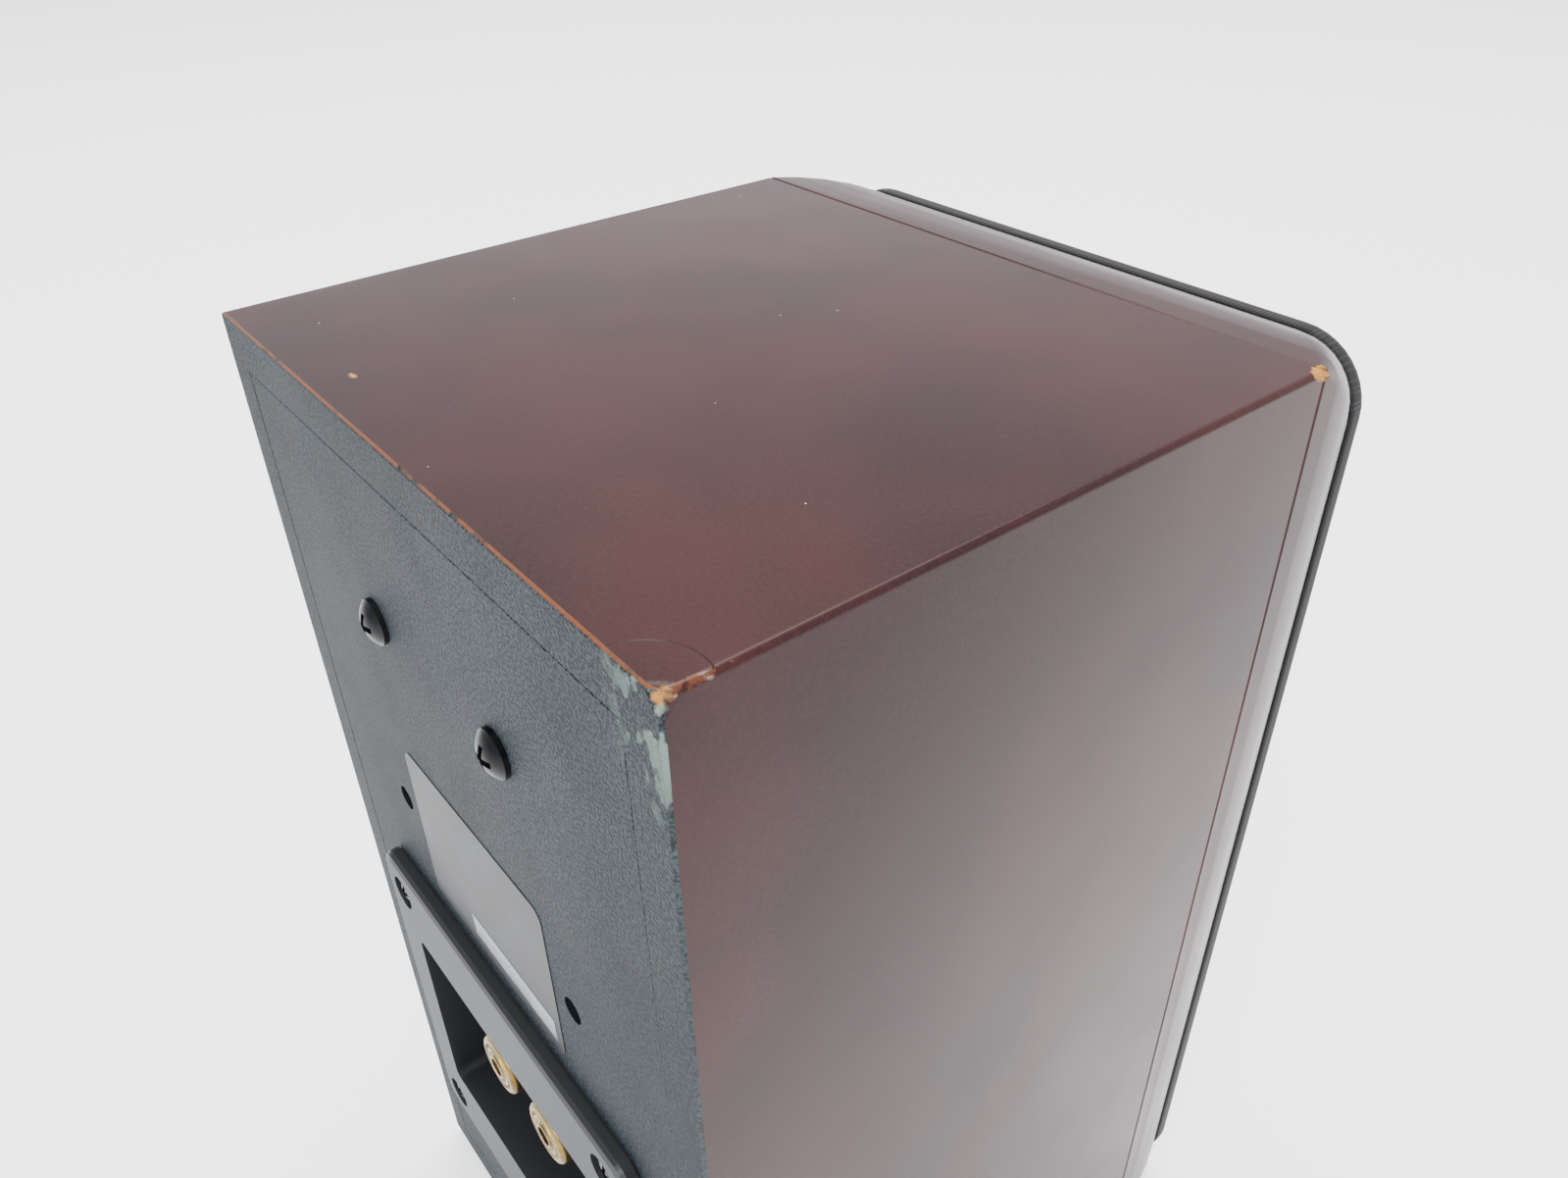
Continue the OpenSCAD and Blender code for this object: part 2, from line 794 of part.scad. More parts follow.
module film_capacitors() {
  cap_body_r = 5;
  cap_body_l = 20;
  color("#d9b93a") for (side = [-1, 1])
    at_board(side * 21, 19.5) translate([0, 0, cap_body_r]) rotate([0, 90, 0])
      cylinder(h = cap_body_l, r = cap_body_r, center = true);
}

module power_resistor() {
  color("white") at_board(-3, -22) translate([0, 0, 3.5]) cube([20, 7, 7], center = true);
}

// ---------- woofer ----------

module woofer_basket() {
  spoke_count = 6;
  window = [30, 20, 13];
  window_x = woofer_r - 12;
  window_z = -14.5;
  color("#33363a") facing_front(0, z_woofer) difference() {
    rotate_extrude() polygon([
      [woofer_r, 0],
      [woofer_r, -woofer_flange_t],
      [woofer_shelf_r + 2 * basket_wall, -woofer_flange_t],
      [basket_foot_r, -basket_ledge_z - basket_wall],
      [basket_foot_r, -basket_floor_z],
      [basket_hole_r, -basket_floor_z],
      [basket_hole_r, -basket_floor_z + basket_wall],
      [basket_foot_r - basket_wall, -basket_floor_z + basket_wall],
      [basket_foot_r - basket_wall, -basket_ledge_z - basket_wall],
      [basket_ledge_r, -basket_ledge_z - basket_wall],
      [basket_ledge_r, -basket_ledge_z],
      [basket_foot_r - basket_wall, -basket_ledge_z],
      [woofer_shelf_r, -woofer_flange_t],
      [woofer_shelf_r, -woofer_shelf_z],
      [woofer_lip_r, -woofer_shelf_z],
      [woofer_lip_r, 0]
    ]);
    for (k = [0 : spoke_count - 1])
      rotate((k + 0.5) * 360 / spoke_count) translate([window_x, 0, window_z]) cube(window, center = true);
    screw_circle(woofer_screw_r, woofer_flange_t);
  }
}

// The four clearance holes of a driver's screws, through a plate whose face is at z = 0
module screw_circle(radius, plate_t) {
  for (turn = [45 : 90 : 315])
    rotate(turn) translate([radius, 0, -plate_t - 1]) cylinder(h = plate_t + 2, r = pilot_r + recess_gap);
}

// A half roll of rubber between the basket's shelf and the cone's edge
module woofer_surround() {
  rubber_t = 0.6;
  inner_lip = cone_r - cone_rim;
  roll_in = cone_r + 0.4;
  roll_out = woofer_shelf_r + 0.2;
  outer_lip = woofer_lip_r - 0.2;
  roll_c = (roll_in + roll_out) / 2;
  roll_r = (roll_out - roll_in) / 2;
  base = -woofer_shelf_z;
  color("#141414") facing_front(0, z_woofer) rotate_extrude() polygon(concat(
    [[inner_lip, base], [inner_lip, base + rubber_t]],
    [for (a = [170 : -10 : 10]) [roll_c + roll_r * cos(a), base + rubber_t + (roll_r - rubber_t) * sin(a)]],
    [[outer_lip, base + rubber_t], [outer_lip, base]],
    [for (a = [0 : 10 : 180]) [roll_c + (roll_r - rubber_t) * cos(a), base + (roll_r - rubber_t) * sin(a)]]
  ));
}

// A corrugated disc that centres the voice coil
module woofer_spider() {
  waves = 4;
  wave_h = 1;
  cloth = 0.6;
  span = basket_foot_r - basket_wall - 0.3 - coil_r;
  flat = 2.6;
  base = -basket_ledge_z;
  edge = coil_r + running_gap;
  color("#c9a24a") facing_front(0, z_woofer) rotate_extrude() polygon(concat(
    [[edge, base], [edge, base + cloth]],
    [for (k = [0 : 4 * waves]) [
      edge + flat + (span - 2 * flat) * k / (4 * waves),
      base + cloth + wave_h / 2 * (1 - cos(k * 90))
    ]],
    [[coil_r + span, base + cloth], [coil_r + span, base]],
    [for (k = [4 * waves : -1 : 0]) [
      edge + flat + (span - 2 * flat) * k / (4 * waves),
      base + wave_h / 2 * (1 - cos(k * 90))
    ]]
  ));
}

module woofer_top_plate() {
  color(steel) facing_front(0, z_woofer) ring(top_plate_r, coil_r + coil_gap, -magnet_z, -basket_floor_z);
}

module woofer_magnet() {
  color("#4a4a4c") facing_front(0, z_woofer) ring(magnet_r, coil_r + 6, -pole_plate_z, -magnet_z);
}

module woofer_pole_piece() {
  pole_l = magnet_t + top_plate_t;
  color(steel) facing_front(0, z_woofer) translate([0, 0, -pole_plate_z - pole_plate_t]) union() {
    cylinder(h = pole_plate_t, r = top_plate_r);
    cylinder(h = pole_plate_t + pole_l, r = pole_r);
  }
}

module woofer_terminal_tags() {
  x_tag = basket_foot_r + face_gap;
  tag_l = woofer_tag_x + lead_r + 1 - x_tag;
  color("#b98b4e") facing_front(0, z_woofer)
    translate([x_tag, -tag_w / 2, -basket_floor_z]) cube([tag_l, tag_w, tag_t]);
}

module driver_screws(z, radius) {
  color(black) facing_front(0, z) for (turn = [45 : 90 : 315])
    rotate(turn) translate([radius, 0, 0])
      cross_screw(driver_head_r, driver_head_h, driver_screw_r, driver_screw_l);
}

module woofer_screws() {
  driver_screws(z_woofer, woofer_screw_r);
}

// A shallow cone of treated paper, with a flat rim under the surround's lip
module woofer_cone() {
  top = -woofer_shelf_z - face_gap;
  slant_t = cone_t * 1.3;
  color("#23262b") facing_front(0, z_woofer) rotate_extrude() polygon([
    [coil_r, -cone_neck_z],
    [cone_r - cone_rim, top],
    [cone_r, top],
    [cone_r, top - cone_t],
    [cone_r - cone_rim, top - slant_t],
    [coil_r, -cone_neck_z - slant_t]
  ]);
}

// A domed cap that closes the cone's throat
module dust_cap() {
  slope = (cone_neck_z - woofer_shelf_z) / (cone_r - cone_rim - coil_r);
  seat_z = -cone_neck_z + (cap_r - coil_r) * slope + cap_lift;
  color("#1d1f23") facing_front(0, z_woofer) shallow_dome(cap_r, cap_rise, cap_t, seat_z);
}

module woofer_voice_coil() {
  tail = basket_floor_z + top_plate_t + 1.5;
  color("#c47a3c") facing_front(0, z_woofer) ring(coil_r, coil_r - coil_wall, -tail, -cone_neck_z + 1);
}

// ---------- tweeter ----------

// A round plate with a short flared throat
module tweeter_faceplate() {
  flare_r = 21;
  lip = 0.8;
  color(black) facing_front(0, z_tweeter) difference() {
    rotate_extrude() polygon(concat(
      [[tweeter_r, 0], [tweeter_r, -tweeter_plate_t], [tweeter_throat_r, -tweeter_plate_t]],
      [for (k = [0 : 6]) [
        tweeter_throat_r + (flare_r - tweeter_throat_r) * k / 6,
        -(tweeter_plate_t - lip) * pow(1 - k / 6, 2)
      ]]
    ));
    screw_circle(tweeter_screw_r, tweeter_plate_t);
  }
}

module tweeter_surround() {
  roll_in = dome_r + 0.15;
  roll_out = tweeter_throat_r - 0.15;
  middle = (roll_in + roll_out) / 2;
  swell = 0.9;
  skin = 0.3;
  base = -tweeter_plate_t + face_gap;
  color("#1b1c1e") facing_front(0, z_tweeter) rotate_extrude() polygon(concat(
    [for (a = [0 : 15 : 180]) [middle - (roll_out - roll_in) / 2 * cos(a), base + skin + swell * sin(a)]],
    [for (a = [180 : -15 : 0]) [middle - (roll_out - roll_in) / 2 * cos(a), base + swell * sin(a)]]
  ));
}

module tweeter_top_plate() {
  color(steel) facing_front(0, z_tweeter)
    ring(tweeter_magnet_r, dome_r + 0.6, -tweeter_plate_t - tweeter_top_t, -tweeter_plate_t);
}

module tweeter_magnet() {
  z1 = -tweeter_plate_t - tweeter_top_t;
  color("#4a4a4c") facing_front(0, z_tweeter) ring(tweeter_magnet_r, dome_r + 4, z1 - tweeter_magnet_t, z1);
}

module tweeter_pole_piece() {
  z1 = -tweeter_plate_t - tweeter_top_t - tweeter_magnet_t;
  pole_l = tweeter_top_t + tweeter_magnet_t - 1;
  color(steel) facing_front(0, z_tweeter) translate([0, 0, z1 - tweeter_pole_t]) union() {
    cylinder(h = tweeter_pole_t, r = tweeter_magnet_r);
    cylinder(h = tweeter_pole_t + pole_l, r = dome_r - tweeter_coil_wall - 0.4);
    translate([-tag_w / 2, -tag_w / 4, -tag_t]) cube([tag_w, tag_w / 2, tag_t + sliver]);
  }
}

module tweeter_screws() {
  driver_screws(z_tweeter, tweeter_screw_r);
}

module tweeter_dome() {
  color("#2a2c30") facing_front(0, z_tweeter)
    shallow_dome(dome_r, dome_rise, dome_skin, -tweeter_plate_t + dome_seat);
}

module tweeter_voice_coil() {
  outer = dome_r - 0.1;
  coil_l = 4;
  coil_top = -tweeter_plate_t + dome_seat - dome_skin - face_gap;
  color("#c47a3c") facing_front(0, z_tweeter)
    ring(outer, outer - tweeter_coil_wall, coil_top - coil_l, coil_top);
}

// ---------- port ----------

// A tube with a flared mouth, set flush in the baffle
module port_tube() {
  curve = 3.5;
  outer = port_r + port_wall;
  color(black) facing_front(0, z_port) rotate_extrude() polygon(concat(
    [[port_r, -port_l], [outer, -port_l], [outer, -port_flare_t], [port_flare_r, -port_flare_t]],
    [[port_flare_r, 0]],
    [for (a = [90 : -15 : 0]) [port_r + curve - curve * cos(a), -curve + curve * sin(a)]]
  ));
}

// ---------- inside the cabinet ----------

module damping_wadding() {
  gap = 0.6;
  wad_front = y_joint + 24;
  wad_bottom = max(z_woofer + magnet_r + 16, z_flange + cup_box_h / 2 + 6);
  wad_top = z_top - board_t - gap;
  color("#d8d6cf") translate([-cab_w / 2 + board_t + gap, wad_front, wad_bottom])
    cube([cab_w - 2 * (board_t + gap), y_inside - gap - wad_front, wad_top - wad_bottom]);
}

// From the board's front edge, up past the magnet and in to the tag from behind
module woofer_leads() {
  y_end = y_front + basket_floor_z;
  color("#b02020") wire_pair([
    [26, y_lead, z_parts],
    [26, y_lead, z_parts + 12],
    [woofer_tag_x + 8, y_lead - 12, z_woofer - 30],
    [woofer_tag_x, y_end + 8, z_woofer],
    [woofer_tag_x, y_end, z_woofer]
  ], [0, 0, 1]);
}

// Round the woofer's magnet and up to the tag behind the tweeter
module tweeter_leads() {
  y_end = y_front + tweeter_plate_t + tweeter_top_t + tweeter_magnet_t + tweeter_pole_t + tag_t;
  x_way = -magnet_r - 9;
  color("#2b2b2d") wire_pair([
    [-26, y_lead, z_parts],
    [-26, y_lead, z_parts + 12],
    [x_way, y_lead - 12, z_woofer - 36],
    [x_way, y_end + 12, z_woofer + 40],
    [-24, y_end + 14, z_tweeter - 16],
    [-5, y_end + 14, z_tweeter - 3],
    [0, y_end + 7, z_tweeter],
    [0, y_end, z_tweeter]
  ], [1, 0, 0]);
}

// Straight off each solder lug, then down to the board
module terminal_leads() {
  y_lug = y_cup_floor - cup_wall - lug_t;
  z_lug = z_post - 9;
  y_down = y_lug - 12;
  z_down = z_lug - 20;
  y_foot = board_y + 10;
  z_foot = z_parts + 12;
  color("#2b2b2d") for (side = [-1, 1])
    translate([side * post_gap / 2, 0, 0]) wire([
      [0, y_lug, z_lug],
      [0, y_lug - 6, z_lug],
      [0, y_lug - 10, z_lug - 8],
      [0, y_down, z_down],
      [0, (y_down + y_foot) / 2, (z_down + z_foot) / 2],
      [0, y_foot, z_foot],
      [0, y_foot, z_parts]
    ]);
}

// ---------- grille ----------

module grille_outline(shrink) {
  rounded_rect(frame_w - 2 * shrink, frame_h - 2 * shrink, grille_corner_r - shrink);
}

// One window of the frame, with wide gussets in its outer corners
module frame_window(z0, z1) {
  w = frame_w - 2 * rim_w;
  translate([0, (z0 + z1) / 2 - z_mid]) rounded_rect(w, z1 - z0, gusset_r);
}

module grille_frame() {
  z_low = z_mid - frame_h / 2 + rim_w;
  z_high = z_mid + frame_h / 2 - rim_w;
  color(black) translate([0, 0, z_mid]) difference() {
    union() {
      along_y(y_front - frame_t + frame_step, y_front) grille_outline(0);
      along_y(y_front - frame_t, y_front - frame_t + frame_step) grille_outline(frame_step);
    }
    along_y(y_front - frame_t - 1, y_front + 1) frame_window(z_low, bar_z - bar_h / 2);
    along_y(y_front - frame_t - 1, y_front + 1) frame_window(bar_z + bar_h / 2, z_high);
  }
}

module grille_pegs() {
  color(black) for (x = [-1, 1], z = [-1, 1])
    facing_front(x * peg_x, z_mid + z * peg_z) {
      translate([0, 0, -peg_l + 1]) cylinder(h = peg_l - 1, r = peg_r);
      translate([0, 0, -peg_l]) cylinder(h = 1, r1 = peg_r - 0.7, r2 = peg_r);
    }
}

module grille_cloth() {
  color("#202124") translate([0, 0, z_mid]) difference() {
    along_y(y_grille, y_front) rounded_rect(grille_w, grille_h, grille_corner_r + cloth_wrap_t);
    along_y(y_grille + cloth_t, y_front + 1) grille_outline(0);
  }
}

module grille_sockets() {
  color(black) for (x = [-1, 1], z = [-1, 1])
    facing_front(x * peg_x, z_mid + z * peg_z) difference() {
      translate([0, 0, -grommet_d]) cylinder(h = grommet_d - face_gap, r = grommet_r);
      translate([0, 0, -peg_l - 1]) cylinder(h = peg_l + 2, r = peg_r + running_gap);
    }
}

top_panel();
bottom_panel();
left_side_panel();
right_side_panel();
back_panel();
front_baffle();
rubber_feet();
upper_bracket_inserts();
upper_bracket_screws();
lower_bracket_inserts();
rating_label();
label_stripe();
terminal_cup();
terminal_cup_gasket();
terminal_cup_screws();
positive_post_stud();
negative_post_stud();
positive_post_collar();
negative_post_collar();
post_nuts();
solder_lugs();
crossover_board();
board_standoffs();
board_screws();
woofer_inductor();
tweeter_inductor();
film_capacitors();
power_resistor();
woofer_basket();
woofer_surround();
woofer_spider();
woofer_top_plate();
woofer_magnet();
woofer_pole_piece();
woofer_terminal_tags();
woofer_screws();
tweeter_faceplate();
tweeter_surround();
tweeter_top_plate();
tweeter_magnet();
tweeter_pole_piece();
tweeter_screws();
port_tube();
grille_sockets();
damping_wadding();
woofer_leads();
tweeter_leads();
terminal_leads();
grille_frame();
grille_pegs();
grille_cloth();
positive_clamp_washer();
negative_clamp_washer();
positive_post_knob();
negative_post_knob();
woofer_cone();
dust_cap();
woofer_voice_coil();
tweeter_dome();
tweeter_voice_coil();
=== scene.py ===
"""Looks of a two-way bookshelf speaker, seen from behind and above one rear corner.

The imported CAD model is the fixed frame. Its hard parts keep their shape and get their finishes here;
the cloth, the rubber surround, the wadding and the three chipped boards are remodelled in mesh code.
"""

import logging
import math
from collections.abc import Callable, Iterable, Sequence
from dataclasses import dataclass
from enum import Enum

import bmesh
import bpy
from mathutils import Matrix, Vector, noise


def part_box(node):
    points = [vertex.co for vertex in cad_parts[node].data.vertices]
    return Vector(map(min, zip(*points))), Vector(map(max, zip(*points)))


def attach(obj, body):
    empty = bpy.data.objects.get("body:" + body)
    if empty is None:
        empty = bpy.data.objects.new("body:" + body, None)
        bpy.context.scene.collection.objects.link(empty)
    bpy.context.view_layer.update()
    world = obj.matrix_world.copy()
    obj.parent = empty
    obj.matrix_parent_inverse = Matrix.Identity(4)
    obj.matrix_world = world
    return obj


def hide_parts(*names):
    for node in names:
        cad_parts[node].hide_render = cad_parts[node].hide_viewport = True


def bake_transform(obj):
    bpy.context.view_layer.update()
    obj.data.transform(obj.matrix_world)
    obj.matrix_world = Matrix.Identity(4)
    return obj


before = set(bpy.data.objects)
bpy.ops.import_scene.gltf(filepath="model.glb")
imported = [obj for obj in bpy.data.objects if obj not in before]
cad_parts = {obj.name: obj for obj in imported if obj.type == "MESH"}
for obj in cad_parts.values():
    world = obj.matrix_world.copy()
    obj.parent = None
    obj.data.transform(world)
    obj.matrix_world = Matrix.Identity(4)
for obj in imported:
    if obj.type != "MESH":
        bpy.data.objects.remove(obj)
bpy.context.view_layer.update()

MM = 0.001
CORNER_SPANS = 10
LOG = logging.getLogger("speaker")

Colour = tuple[float, float, float, float]
Point = tuple[float, float, float]


# ---------- shared helpers ----------


def linear(hex_colour: str) -> Colour:
    """Turn an sRGB hex colour into linear RGBA.

    Args:
        hex_colour: The colour as "#rrggbb".

    Returns:
        Linear red, green, blue and an alpha of 1.
    """
    channels = [int(hex_colour[i : i + 2], 16) / 255 for i in (1, 3, 5)]
    red, green, blue = (c / 12.92 if c <= 0.04045 else ((c + 0.055) / 1.055) ** 2.4 for c in channels)
    return red, green, blue, 1.0


def per_metre(size_mm: float) -> float:
    """Texture scale at which one cell of a pattern is size_mm across."""
    return 1 / (size_mm * MM)


class Body(Enum):
    """The CAD bodies that pieces ride on."""

    CABINET = "cabinet"
    GRILLE = "grille"
    DIAPHRAGM = "woofer_diaphragm"


class Net:
    """The node tree of one material, with one method that adds a node."""

    def __init__(self, name: str) -> None:
        """Make the material with a bare Principled surface.

        Args:
            name: The material's name.
        """
        self.material = bpy.data.materials.new(name)
        self.material.use_nodes = True
        self.tree = self.material.node_tree
        self.surface = self.tree.nodes["Principled BSDF"]

    def add(self, kind: str, settings: dict | None = None, links: dict | None = None) -> bpy.types.Node:
        """Add a node with its settings, and fill or link its inputs.

        Args:
            kind: The node type after "ShaderNode", such as "TexNoise".
            settings: The node's own properties.
            links: Input name or index, to a value or to the output socket that feeds it.

        Returns:
            The new node.
        """
        node = self.tree.nodes.new("ShaderNode" + kind)
        for name, value in (settings or {}).items():
            setattr(node, name, value)
        self.feed(node, links or {})
        return node

    def feed(self, node: bpy.types.Node, links: dict) -> None:
        """Fill or link the inputs of a node.

        Args:
            node: The node to feed.
            links: Input name or index, to a value or to an output socket.
        """
        for name, value in links.items():
            if isinstance(value, bpy.types.NodeSocket):
                self.tree.links.new(value, node.inputs[name])
            else:
                node.inputs[name].default_value = value

    def place(self) -> bpy.types.NodeSocket:
        """Where the shaded point is on its own piece, in metres."""
        return self.add("TexCoord").outputs["Object"]

    def grain(self, size_mm: float, detail: float = 2.0, squeeze: Point = (1, 1, 1)) -> bpy.types.NodeSocket:
        """A soft random pattern.

        Args:
            size_mm: Size of its patches.
            detail: How many finer layers it has.
            squeeze: Factors on the three axes, above 1 where the pattern is finer.

        Returns:
            Its value, about 0.5 in the middle.
        """
        scaled = self.add("VectorMath", {"operation": "MULTIPLY"}, {0: self.place(), 1: squeeze})
        noise_node = self.add("TexNoise", None, {
            "Vector": scaled.outputs[0], "Scale": per_metre(size_mm), "Detail": detail,
        })
        return noise_node.outputs[0]

    def ramp(self, value: bpy.types.NodeSocket, low: float, high: float) -> bpy.types.NodeSocket:
        """A smooth share from 0 at low to 1 at high; low may be the larger one.

        Args:
            value: The number to place.
            low: Where the share is 0.
            high: Where it is 1.

        Returns:
            The share.
        """
        rising = low < high
        node = self.add("MapRange", {"interpolation_type": "SMOOTHSTEP"}, {
            "Value": value,
            "From Min": min(low, high),
            "From Max": max(low, high),
            "To Min": 0.0 if rising else 1.0,
            "To Max": 1.0 if rising else 0.0,
        })
        return node.outputs["Result"]

    def sum_up(self, operation: str, first: object, second: object) -> bpy.types.NodeSocket:
        """One arithmetic step on two numbers or sockets.

        Args:
            operation: The Math node's operation.
            first: Its first input.
            second: Its second input.

        Returns:
            The result.
        """
        return self.add("Math", {"operation": operation}, {0: first, 1: second}).outputs[0]

    def blend(self, share: object, under: object, over: object) -> bpy.types.NodeSocket:
        """Lay one colour over another.

        Args:
            share: How much of the upper colour shows.
            under: The lower colour, as a socket or linear RGBA.
            over: The upper colour, as a socket or linear RGBA.

        Returns:
            The mixed colour.
        """
        node = self.add("MixRGB", None, {"Fac": share, "Color1": under, "Color2": over})
        return node.outputs["Color"]

    def distance(self, point: Point, stretch: Point = (1, 1, 1)) -> bpy.types.NodeSocket:
        """Distance of the shaded point from a fixed point of the piece.

        Args:
            point: The fixed point, in metres.
            stretch: Factors on the axes, below 1 along the way that the mark runs.

        Returns:
            The distance in metres.
        """
        away = self.add("VectorMath", {"operation": "SUBTRACT"}, {0: self.place(), 1: point})
        scaled = self.add("VectorMath", {"operation": "MULTIPLY"}, {0: away.outputs[0], 1: stretch})
        return self.add("VectorMath", {"operation": "LENGTH"}, {0: scaled.outputs[0]}).outputs["Value"]

    def bump(self, height: bpy.types.NodeSocket, depth_mm: float, strength: float = 1.0,
             under: bpy.types.NodeSocket | None = None) -> bpy.types.NodeSocket:
        """Raise the surface by a height pattern.

        Args:
            height: The pattern, from 0 to 1.
            depth_mm: How deep the pattern is.
            strength: Share of the effect that is used.
            under: Another bump's normal to build on.

        Returns:
            The bent normal.
        """
        links = {"Height": height, "Distance": depth_mm * MM, "Strength": strength}
        if under is not None:
            links["Normal"] = under
        return self.add("Bump", None, links).outputs["Normal"]


# ---------- finishes ----------


@dataclass(frozen=True)
class Finish:
    """A material, made once and shared by every piece that names it."""

    name: str

    def material(self) -> bpy.types.Material:
        """The Blender material, made on first use."""
        ready = bpy.data.materials.get(self.name)
        if ready is not None:
            return ready
        net = Net(self.name)
        self.shade(net)
        return net.material

    def shade(self, net: Net) -> None:
        """Build the surface; each finish has its own.

        Args:
            net: The material's node tree.
        """
        raise NotImplementedError

    def dress(self, *pieces: bpy.types.Object) -> None:
        """Give the finish to whole pieces.

        Args:
            pieces: The objects to dress.
        """
        for piece in pieces:
            piece.data.materials.clear()
            piece.data.materials.append(self.material())


@dataclass(frozen=True)
class CabinetPaint(Finish):
    """Sprayed mahogany lacquer on MDF boards, with textured slate paint on everything that faces back.

    The lacquer gives deep red-brown with soft, wide reflections and a little dust under the coat; the
    slate paint is dry and pebbled, and where it is rubbed the paler undercoat and bare MDF show.
    """

    corner: Point = (0.0, 0.0, 0.0)
    joint: Point = (0.0, 0.0, 0.0)
    deep: str = "#211112"
    warm: str = "#2d1615"
    fleck: str = "#4c2c29"
    dust: str = "#a89794"
    slate: str = "#202a2e"
    slate_pale: str = "#293338"
    slate_dark: str = "#080d10"
    scuff: str = "#56665f"
    bare_board: str = "#94682f"
    bare_strand: str = "#8d6234"
    splinter: str = "#756a63"
    worn_edge: str = "#4a2a1c"
    rubbed_line: str = "#5a3521"
    worn: bool = True
    mottle_mm: float = 42.0
    fleck_mm: float = 0.6
    dust_cell_mm: float = 5.0
    # Real pebbles are about 0.35 mm; they are drawn at 0.5 mm so that they still show
    pebble_mm: float = 0.5
    corner_chip_mm: float = 1.5
    joint_chip_mm: float = 1.9
    # The curved dent beside the knocked corner: its centre, from the corner, and its radius
    dent_from_corner_mm: Point = (2.1, 1.0, 0.0)
    dent_mm: float = 8.15
    dent_line_mm: float = 0.16
    # The small nick in the top, towards its far rear corner
    nick_from_corner_mm: Point = (90.7, -6.8, 0.0)
    nick_mm: float = 0.9
    knock_depth_mm: float = 0.25
    pebble_depth_mm: float = 0.22
    # Bands below the rear edge and below the top, from where a mark starts to where it is full
    bevel_band_mm: tuple[float, float] = (1.2, 0.7)
    rubbed_band_mm: tuple[float, float] = (0.45, 0.2)
    lacquer_roughness: float = 0.24
    slate_roughness: float = 0.58
    # Set low: a real coat has about 0.5, which washes the red out under the pale room
    specular: float = 0.13

    def shade(self, net: Net) -> None:
        """Mix lacquer and slate paint by which way the surface faces.

        Args:
            net: The material's node tree.
        """
        facing = net.add("SeparateXYZ", None, {0: net.add("TexCoord").outputs["Normal"]})
        backward = net.ramp(facing.outputs["Y"], 0.80, 0.92)
        lacquer, lacquer_height = self.lacquer(net)
        slate, pebbles = self.slate_coat(net)
        place = net.add("SeparateXYZ", None, {0: net.place()})
        start, full = (self.corner[1] - band * MM for band in self.bevel_band_mm)
        rear = net.ramp(place.outputs["Y"], start, full)
        bevel = net.sum_up("MULTIPLY", net.ramp(facing.outputs["Y"], 0.25, 0.5), rear)
        start, full = (self.corner[2] - band * MM for band in self.rubbed_band_mm)
        upper = net.ramp(place.outputs["Z"], start, full)
        rubbed = net.sum_up("MULTIPLY", upper, net.ramp(net.grain(3.0, 3.0), 0.28, 0.50))
        worn = net.sum_up("MULTIPLY", bevel, rubbed)
        dent, nick = self.knocks(net, place)
        # Painted shade: the dent's curved line is painted darker, towards the deep lacquer colour, as shade
        # in its crease
        colour = net.blend(net.sum_up("MULTIPLY", dent, 0.55), lacquer, linear(self.deep))
        colour = net.blend(nick, colour, self.fibre(net))
        colour = net.blend(bevel, colour, slate)
        colour = net.blend(worn, colour, linear(self.rubbed_line if self.worn else self.slate))
        colour = net.blend(backward, colour, slate)
        bare, splintered = self.bare(net)
        colour = net.blend(bare, colour, self.fibre(net))
        torn = net.ramp(net.grain(0.9, 3.0, (1.0, 0.4, 1.0)), 0.46, 0.58)
        strip = net.blend(torn, linear(self.worn_edge), linear(self.splinter))
        colour = net.blend(splintered, colour, strip)
        rough = net.add("MapRange", None, {
            "Value": backward, "To Min": self.lacquer_roughness, "To Max": self.slate_roughness,
        })
        rough = net.sum_up("ADD", rough.outputs["Result"], net.sum_up("MULTIPLY", bare, 0.4))
        smudged = net.sum_up("MULTIPLY", net.ramp(net.grain(18.0, 1.0), 0.25, 0.80), 0.05)
        rough = net.sum_up("ADD", rough, smudged)
        smooth = net.bump(lacquer_height, 0.05, 0.06)
        sunk = net.sum_up("MULTIPLY", net.sum_up("MAXIMUM", dent, nick), -1.0)
        smooth = net.bump(sunk, self.knock_depth_mm, 0.7, smooth)
        height = net.sum_up("MULTIPLY", pebbles, backward)
        normal = net.bump(height, self.pebble_depth_mm, 1.0, smooth)
        net.feed(net.surface, {
            "Base Color": colour, "Roughness": rough, "Normal": normal,
            "IOR": 1.5, "Specular IOR Level": self.specular,
        })

    def knocks(self, net: Net, place: bpy.types.Node) -> tuple[bpy.types.NodeSocket, bpy.types.NodeSocket]:
        """The two marks in the top: a thin curved dent and a small nick down to the board.

        Args:
            net: The material's node tree.
            place: The node that splits the shaded point into its axes.

        Returns:
            How much of the dent's line shows, and how much of the nick.
        """
        on_top = net.ramp(place.outputs["Z"], self.corner[2] - 0.3 * MM, self.corner[2] - 0.1 * MM)
        corner = Vector(self.corner)
        centre = corner + Vector(self.dent_from_corner_mm) * MM
        off_line = net.sum_up("SUBTRACT", net.distance(tuple(centre)), self.dent_mm * MM)
        off_line = net.sum_up("ABSOLUTE", off_line, 0.0)
        dent = net.ramp(off_line, self.dent_line_mm * MM, 0.0)
        spot = corner + Vector(self.nick_from_corner_mm) * MM
        ragged = net.sum_up("MULTIPLY", net.grain(0.8, 3.0), 0.6 * MM)
        nick = net.sum_up("ADD", net.distance(tuple(spot), (0.45, 1.0, 1.0)), ragged)
        nick = net.ramp(nick, self.nick_mm * MM, self.nick_mm * 0.6 * MM)
        return net.sum_up("MULTIPLY", dent, on_top), net.sum_up("MULTIPLY", nick, on_top)

